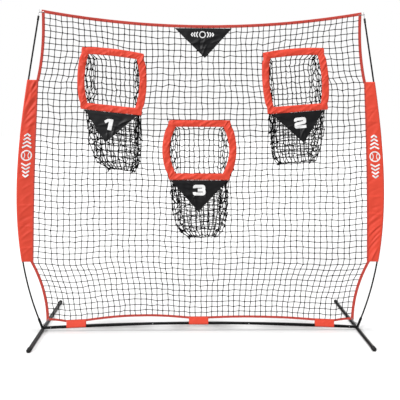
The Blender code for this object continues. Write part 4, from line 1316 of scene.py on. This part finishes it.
def emblem(side_name, side):
    """A plain mark on a sleeve: a ball with two seams between two groups of chevrons."""
    ball = SLEEVE_BALL
    strokes = [stroke(ring_path(ball), 0.009)]
    for turn in (-1, 1):
        seam = ring_path(ball * 0.92, 60) + (turn * ball * 1.25, 0)
        inside = np.hypot(*seam.T) < ball * 0.96
        seam = np.roll(seam, -int(np.argmax(~inside)), axis=0)
        inside = np.hypot(*seam.T) < ball * 0.96
        strokes.append(stroke(seam[inside], 0.0055))
        for step in range(4):
            up = turn * (ball + 0.022 + 0.028 * step)
            arm = 0.034 - 0.004 * step
            chevron = [(-arm, up), (0, up + turn * 0.018), (arm, up)]
            strokes.append(stroke(rounded(chevron, 0.004), 0.0115))
    obj = printed(f"sleeve_{side_name}_emblem", strokes, sleeve_print(side), ROOT)


def pennant_surface(middle, size, tilt, apex, seed):
    """A hanging triangle of cloth: from a share across its top edge and a share down, to points."""
    x0, z0 = middle
    width, drop = size
    chance = np.random.default_rng(seed)
    folds = []
    for _ in range(12):
        x = x0 + chance.uniform(-0.32, 0.32) * width
        z = z0 - chance.uniform(0.02, 0.15)
        angle = math.radians(chance.uniform(-34, 34))
        folds.append((x, z, angle, chance.uniform(0.03, 0.08), chance.uniform(0.006, 0.011),
                      chance.uniform(-0.0026, 0.0038)))
    for _ in range(4):
        x = x0 + apex * 0.5 + chance.uniform(-0.05, 0.05)
        folds.append((x, z0 - chance.uniform(0.09, 0.16), math.radians(chance.uniform(60, 115)), 0.04, 0.007,
                      chance.uniform(-0.0024, 0.0034)))

    def forward(x, z):
        down = np.clip((z0 + tilt * (x - x0) - z) / drop, 0, 1)
        shaped = creases(x, z, folds) + 0.0010 * waves(x, z, 0.05, seed + 1)
        return np.minimum(down / 0.1, 1) * (shaped + 0.0012) + 0.0030 * down**2

    return lambda x, z, proud: in_plane(x, z, NET_Y - PENNANT_FORWARD - forward(x, z) - proud)


def pennant(name, body, middle, size, tilt, apex, seed):
    """A pennant with a sewn hem. Its cloth is a grid that narrows to a blunt tip."""
    at = pennant_surface(middle, size, tilt, apex, seed)
    x0, z0 = middle
    width, drop = size
    down = np.linspace(0, 1, PENNANT_ROWS)[:, None]
    share = np.linspace(-1, 1, PENNANT_COLUMNS)[None, :]
    half = width / 2 * (1 - down) + BLUNT_TIP * down
    x = x0 + apex * down + share * half
    z = z0 + tilt * (share * width / 2) * (1 - down) - drop * down
    obj = cloth(name, at(x, z, 0)[:, ::-1], BLACK_CLOTH, 0.0011, body)
    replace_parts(obj, body)
    for side in (-1, 1):
        top = np.array([x0 + side * (width / 2 - 0.020), z0 - 0.0035 + tilt * side * width / 2])
        tip = np.array([x0 + apex + side * 0.0005, z0 - drop + 0.0105])
        line = top + (tip - top) * np.linspace(0, 1, 70)[:, None]
        edge = at(line[:, 0], line[:, 1], 0.0007)
        hem = stitches(f"{name}_hem_{'left' if side < 0 else 'right'}", edge, BLACK_CLOTH, body)
    return at


def shifted(surface, x, z):
    """A surface for print that is measured from x and z."""
    return lambda across, up, proud: surface(x + across, z + up, proud)


def pennants():
    """The three pocket pennants, each with its numeral."""
    for number, pocket in POCKETS.items():
        x0, z0 = (float(value) for value in pocket_point(pocket, np.array(0.0), np.array(-MOUTH_HALF)))
        middle = (x0, z0 - PENNANT_CLEAR)
        body = f"pocket_pennant_{number}"
        at = pennant(f"pennant_{number}", body, middle, pocket["pennant"], pocket["tilt"], pocket["apex"],
                     100 + int(number))
        centre = np.array(NUMERAL_AT[number])
        turn = math.atan(pocket["tilt"]) * 1.2
        spin = np.array([[math.cos(turn), -math.sin(turn)], [math.sin(turn), math.cos(turn)]])
        strokes = []
        for radius, width, points in NUMERALS[number]:
            path = rounded(np.array(points) * NUMERAL_HEIGHT, radius * NUMERAL_HEIGHT) @ spin.T
            strokes.append(stroke(path + centre, width * NUMERAL_HEIGHT))
        printed(f"numeral_{number}", strokes, shifted(at, *middle), body)


def top_pennant():
    """The pennant under the top border, with a plain mark: a ball between two groups of chevrons."""
    middle = (TOP_PENNANT_X, float(top_z(TOP_PENNANT_X)) - WEBBING / 2 - PENNANT_CLEAR)
    at = pennant("pennant_top", "top_pennant", middle, TOP_PENNANT_SIZE, 0, TOP_PENNANT_APEX, 110)
    ball = TOP_BALL
    strokes = [stroke(ring_path(ball), 0.0065)]
    for turn in (-1, 1):
        for step in range(3):
            across = turn * (ball + 0.014 + 0.018 * step)
            arm = 0.019 - 0.003 * step
            chevron = [(across, arm), (across + turn * 0.010, 0), (across, -arm)]
            strokes.append(stroke(rounded(chevron, 0.003), 0.0085))
    printed("pennant_top_emblem", strokes, shifted(at, middle[0] - 0.006, middle[1] - 0.046), "top_pennant")


# Corners

LOOP_RADIUS, CORD_RADIUS = 0.0065, 0.0018
LOOP_BEND = 0.0085  # from the end of a loop to where its bend starts
EYELETS = {"top": (1.146, 2.386), "bottom": (1.176, 0.090)}
# Profile through the webbing: (distance behind the net's plane, radius)
EYELET = [(0.0021, 0.0064), (0.0028, 0.0060), (0.0031, 0.0048), (0.0024, 0.0034),
          (-0.0024, 0.0034), (-0.0026, 0.0040), (-0.0031, 0.0048), (-0.0028, 0.0060), (-0.0021, 0.0064)]


def corner_loops():
    """Elastic loops from the net's corners to the pole tips and the hubs' eyes, and an eyelet in each."""
    for side_name, side in SIDES.items():
        for end in EYELETS:
            name = f"corner_loop_{end}_{side_name}"
            low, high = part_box(name)
            start = np.array([low.x if side > 0 else high.x, NET_Y, low.z if end == "top" else high.z])
            finish = np.array([high.x if side > 0 else low.x, NET_Y, high.z if end == "top" else low.z])
            run = unit(finish - start)
            straight = np.linalg.norm(finish - start) / 2 - LOOP_BEND
            turns = np.linspace(0, 2 * math.pi, 64, endpoint=False)
            along = straight * np.clip(np.cos(turns) * 3, -1, 1) + LOOP_RADIUS * np.cos(turns)
            across = LOOP_RADIUS * np.sin(turns)
            shape = Shape()
            path = (start + finish) / 2 + along[:, None] * run + across[:, None] * Y
            tube(shape, path, CORD_RADIUS, 10, np.cross(run, Y), closed=True)
            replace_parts(mesh_object(f"{name}_cord", shape, ELASTIC), name)
        for end, (x, z) in EYELETS.items():
            shape = turned_shape(along_y(side * x, z, NET_Y), EYELET, 32, X, closed=True)
            mesh_object(f"eyelet_{end}_{side_name}", shape, ZINC)


# Stage

FLOOR_HALF, FLOOR_WHITE = 40, 0.84
SURROUND_LIGHT, SURROUND_SHOWN = 0.26, 1.0
CAMERA_PLACE, CAMERA_AIM = (-0.130, NET_Y - 4.727, 1.663), (-0.012, NET_Y, 1.020)
CAMERA_LENS, CAMERA_ROLL = 56.88, 0.005


def sun(name, direction, spread, strength):
    """A far soft light. Spread is its width across the sky in degrees."""
    light = bpy.data.lights.new(name, "SUN")
    light.angle = math.radians(spread)
    light.energy = strength
    obj = bpy.data.objects.new(name, light)
    obj.rotation_euler = Vector(direction).to_track_quat("-Z", "Y").to_euler()
    bpy.context.scene.collection.objects.link(obj)


def surround():
    """White all round, which lights the object less than it shows."""
    world = bpy.data.worlds.new("surround")
    world.use_nodes = True
    background = world.node_tree.nodes["Background"]
    background.inputs["Color"].default_value = (1, 1, 1, 1)
    rays = world.node_tree.nodes.new("ShaderNodeLightPath")
    strength = world.node_tree.nodes.new("ShaderNodeMapRange")
    strength.inputs["To Min"].default_value = SURROUND_LIGHT
    strength.inputs["To Max"].default_value = SURROUND_SHOWN
    world.node_tree.links.new(rays.outputs["Is Camera Ray"], strength.inputs["Value"])
    world.node_tree.links.new(strength.outputs[0], background.inputs["Strength"])
    bpy.context.scene.world = world


def stage():
    """White floor, soft lights from overhead and behind, and a key light from the upper left in front."""
    mesh = bpy.data.meshes.new("floor")
    mesh.from_pydata([(x * FLOOR_HALF, y * FLOOR_HALF, 0) for x, y in CORNERS], [], [(0, 1, 2, 3)])
    surface = Nodes("floor_white", (FLOOR_WHITE,) * 3, 0.9, specular=0.1)
    surface.tint(surface.noise(2, 3), 0.99, 1.01)
    mesh.materials.append(surface.material)
    floor = bpy.data.objects.new("floor", mesh)
    bpy.context.scene.collection.objects.link(floor)
    floor.visible_diffuse = False
    floor.visible_glossy = False
    surround()
    sun("overhead", (0.02, 0.0, -1), 8, 2.4)
    sun("rear_fill", (-0.45, -1.00, -0.45), 50, 0.75)
    sun("key", (0.72, 0.97, -0.50), 14, 2.95)
    bpy.context.scene.view_settings.view_transform = "Standard"


def camera():
    """Fitted to the ends of the feet and poles, a little left of the middle and above half the height."""
    data = bpy.data.cameras.new("camera")
    data.sensor_width = 36
    data.lens = CAMERA_LENS
    data.clip_end = 100
    obj = bpy.data.objects.new("camera", data)
    bpy.context.scene.collection.objects.link(obj)
    place = Vector(CAMERA_PLACE)
    look = (Vector(CAMERA_AIM) - place).to_track_quat("-Z", "Y").to_matrix()
    turn = look @ Matrix.Rotation(CAMERA_ROLL, 3, "Z")
    obj.matrix_world = Matrix.Translation(place) @ turn.to_4x4()
    bpy.context.scene.camera = obj


camera()
stage()
hubs()
feet()
base_tubes()
snap_buttons()
poles()
netting()
pocket_bags()
mouth_frames()
side_sleeves()
base_tabs()
borders()
pennants()
top_pennant()
corner_loops()
